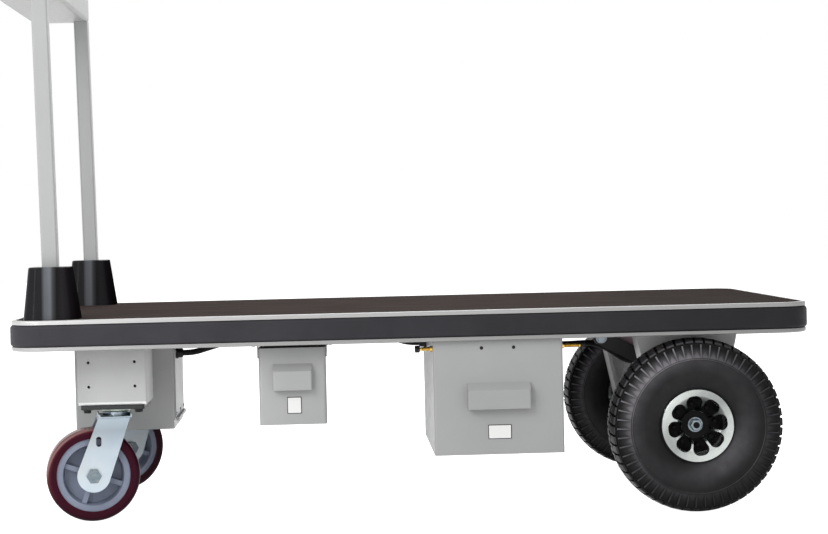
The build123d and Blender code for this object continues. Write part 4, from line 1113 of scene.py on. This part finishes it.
def tube(shape, points, radius, segments=12):
    """A round lead through points, its corners softened."""
    places = [Vector(p) for p in points]
    for _ in range(2):
        soft = [places[0]]
        for a, b in zip(places, places[1:]):
            soft += [a * 0.75 + b * 0.25, a * 0.25 + b * 0.75]
        places = soft + [places[-1]]
    rings = []
    for index, place in enumerate(places):
        ahead = places[min(index + 1, len(places) - 1)] - places[max(index - 1, 0)]
        ahead.normalize()
        side = ahead.cross(Vector((0.1, 0.2, 1))).normalized()
        rings.append(circle(place, side, ahead.cross(side), radius, segments))
    shape.rings(rings, close=False, caps=True)


def saddle_ring(at, radius):
    """A strap's outline over a cable, from one foot to the other."""
    ring = [at + Vector((0, -radius, 0))]
    for step in range(13):
        angle = math.pi * step / 12
        ring.append(at + Vector((0, -radius * math.cos(angle), -saddle_rise - radius * math.sin(angle))))
    return ring + [at + Vector((0, radius, 0))]


def make_cable_fittings():
    """Glands where the cables enter, and saddles that hold them to the frame."""
    charger_low, charger_high = corners("charger_box")
    battery_low, battery_high = corners("battery_box")
    top = charger_high.z
    low = top - cable_drop
    charger_x = (charger_low.x + charger_high.x) / 2
    gland = [(0, 0.0095), (0.004, 0.0095), (0.0042, 0.0080), (0.011, 0.0078), (0.012, 0.0062)]
    shape = Shape()
    for at, out in (
        ((corners("controller_lid")[1].x - lid_rim, cable_y + 0.030, low), (1, 0, 0)),
        ((charger_x - 0.020, charger_high.y, low), (0, 1, 0)),
        ((charger_x + 0.020, charger_high.y, low), (0, 1, 0)),
        ((battery_low.x, cable_y, low + 0.0094), (-1, 0, 0)),
        ((battery_high.x, cable_y, low), (1, 0, 0)),
    ):
        shape.lathe(gland, at, out, 24)
    shape.piece("glands", "black")

    shape = Shape()
    outer_r = saddle_r + saddle_strap
    for x in (charger_x - 0.10, charger_x + 0.10, (charger_high.x + battery_low.x) / 2):
        for foot in (-0.0105, 0.0105):
            at = (x, cable_y + foot, top)
            shape.prism(rounded(0.010, 0.009, 0.002), at, (1, 0, 0), (0, 0, -1), 0.0014)
        edges = ((-0.004, saddle_r), (-0.004, outer_r), (0.004, outer_r), (0.004, saddle_r))
        rings = [saddle_ring(Vector((x + along, cable_y, top)), radius) for along, radius in edges]
        shape.rings(rings, around=False)
    shape.piece("saddles", "zinc")


def slope_frame():
    """The console's slope: its middle, and the directions along +Y, up the slope and out of it."""
    up = Vector((0.104, 0, 0.050)).normalized()
    centre = middle("console_fascia")
    centre.y = 0
    return centre, Vector((0, 1, 0)), up, Vector((-up.z, 0, up.x))


def make_console_details():
    centre, along, up, out = slope_frame()
    face = centre + out * 0.0015
    rise = up * screw_rise
    spots = [face + along * a + rise * b for a in (-screw_y, screw_y) for b in (-1, 1)]
    screws("fascia_screws", "zinc", spots + [face - rise, face + rise], out, 0.0040, 0.0018)

    # Key: a slot plate with a key bow
    key = face - along * outer_control_y
    shape = Shape()
    shape.lathe([(0, 0.0075), (0.0006, 0.0075)], key + out * 0.006, out, 32)
    shape.piece("key_plate", "black")
    shape = Shape()
    shape.prism(rounded(0.0022, 0.0090, 0.0008), key + out * 0.0066, along, out, 0.006)
    bow = [(0.0105 * x, 0.0085 * y) for x, y in polygon(24, 1)]
    shape.prism(bow, key + out * 0.0205 - along * 0.0011, out, along, 0.0022, chamfer=0.0004)
    shape.piece("key", "bar")

    # Gauge: a dark window in a rim, and five lamps
    gauge = face - along * inner_control_y + out * 0.005
    shape = Shape()
    shape.prism(rounded(0.050, 0.022, 0.003), gauge, along, out, 0.0006, chamfer=0.0002)
    shape.piece("gauge_window", "window")
    for slot, places in ("lamp_green", (0.0, 0.01, 0.02)), ("lamp_amber", (-0.01,)), ("lamp_red", (-0.02,)):
        shape = Shape()
        for place in places:
            at = gauge + along * place + out * 0.0006
            shape.prism(rounded(0.0060, 0.0100, 0.001), at, along, out, 0.0005)
        shape.piece(slot, slot)

    # Direction switch: a rocker in its frame
    rocker = face + along * inner_control_y + out * 0.007
    section = ((-0.014, 0.0), (-0.014, 0.0042), (0.0, 0.0016), (0.014, 0.0030), (0.014, 0.0))
    shape = Shape()
    rings = [[rocker + along * a + up * b + out * height for b, height in section] for a in (-0.008, 0.008)]
    shape.rings(rings, close=False, caps=True)
    shape.piece("rocker", "black", bevel=0.0006)

    # Stop button: a yellow collar and a ring of notches round its head
    stop = face + along * outer_control_y
    shape = Shape()
    shape.lathe([(0, 0.0300), (0.0008, 0.0300), (0.0010, 0.0297)], stop, out, 56)
    shape.piece("stop_collar", "yellow")
    shape = Shape()
    for x, y in polygon(24, 0.0188):
        spot = stop + along * x + up * y + out * 0.0115
        shape.prism(rounded(0.0016, 0.0016, 0.0004, 2), spot, along, out, 0.0060)
    shape.piece("stop_notches", "stop_red")


def make_handle_details():
    low, high = corners("handlebar_grips")
    bar = middle("handlebar_grips")
    bar.y = 0
    radius = (high.z - low.z) / 2
    profile = [(0.0, radius - 0.003), (0.0009, radius - 0.0009), (0.003, radius)]
    for step in range(int((grip_length - 0.014) / grip_rib_pitch)):
        along = 0.007 + step * grip_rib_pitch
        profile += [
            (along, radius), (along + 0.0007, radius - grip_rib_depth),
            (along + 0.0016, radius - grip_rib_depth), (along + 0.0023, radius),
        ]
    ends = ((0.003, 0), (0.0009, 0.0009), (0, 0.003))
    profile += [(grip_length - inset, radius - drop) for inset, drop in ends]
    shape = Shape()
    for side in (-1, 1):
        shape.lathe(profile, bar + Vector((0, side * grip_y - grip_length / 2, 0)), (0, 1, 0), 48)
    shape.piece("grips", "grip", replaces=("handlebar_grips",), smooth=35)

    housing_x = corners("console_housing")[0].x
    spots = []
    for side in (-1, 1):
        flange = Vector((housing_x - 0.004, side * bar_end_y, bar.z))
        spots += ring_spots(flange, 0.0165, (90, 210, 330), (0, 1, 0))
    screws("bar_screws", "zinc", spots, (-1, 0, 0), 0.0028, 0.0016)

    shape = Shape()
    lead_y = corners("throttle")[0].y + 0.012
    start = Vector((bar.x + 0.006, lead_y, bar.z - 0.019))
    end = Vector((housing_x, lead_y, bar.z - 0.030))
    tube(shape, [start, start + Vector((0.012, 0, -0.012)), end - Vector((0.016, 0, 0.002)), end], 0.0026)
    shape.lathe([(0, 0.006), (0.003, 0.006), (0.004, 0.0035)], end, (-1, 0, 0), 20)
    shape.piece("throttle_lead", "cable")


def make_dressing():
    make_finishes()
    slots = {sub["node"]: sub["material_slot"] for sub in record["subparts"]}
    special = {"caster_plates": "plate", "frame_crossmembers": "crossmember"}
    for name in SIDES:
        special[f"caster_axle_{name}"] = "plated_nut"
        special[f"axle_hanger_{name}"] = "hanger"
    for name, obj in frame["nodes"].items():
        finish = FINISHES[special.get(name, slots[name])]
        if obj.material_slots:
            obj.material_slots[0].material = finish
        else:
            obj.data.materials.append(finish)
    for make in (
        make_tyres, make_wheel_nuts, make_box_fittings, make_caster_bolts, make_axle_fittings,
        make_cable_fittings, make_console_details, make_handle_details,
    ):
        make()


make_camera()
make_studio()
make_dressing()

bpy.context.scene.view_settings.view_transform = "Standard"
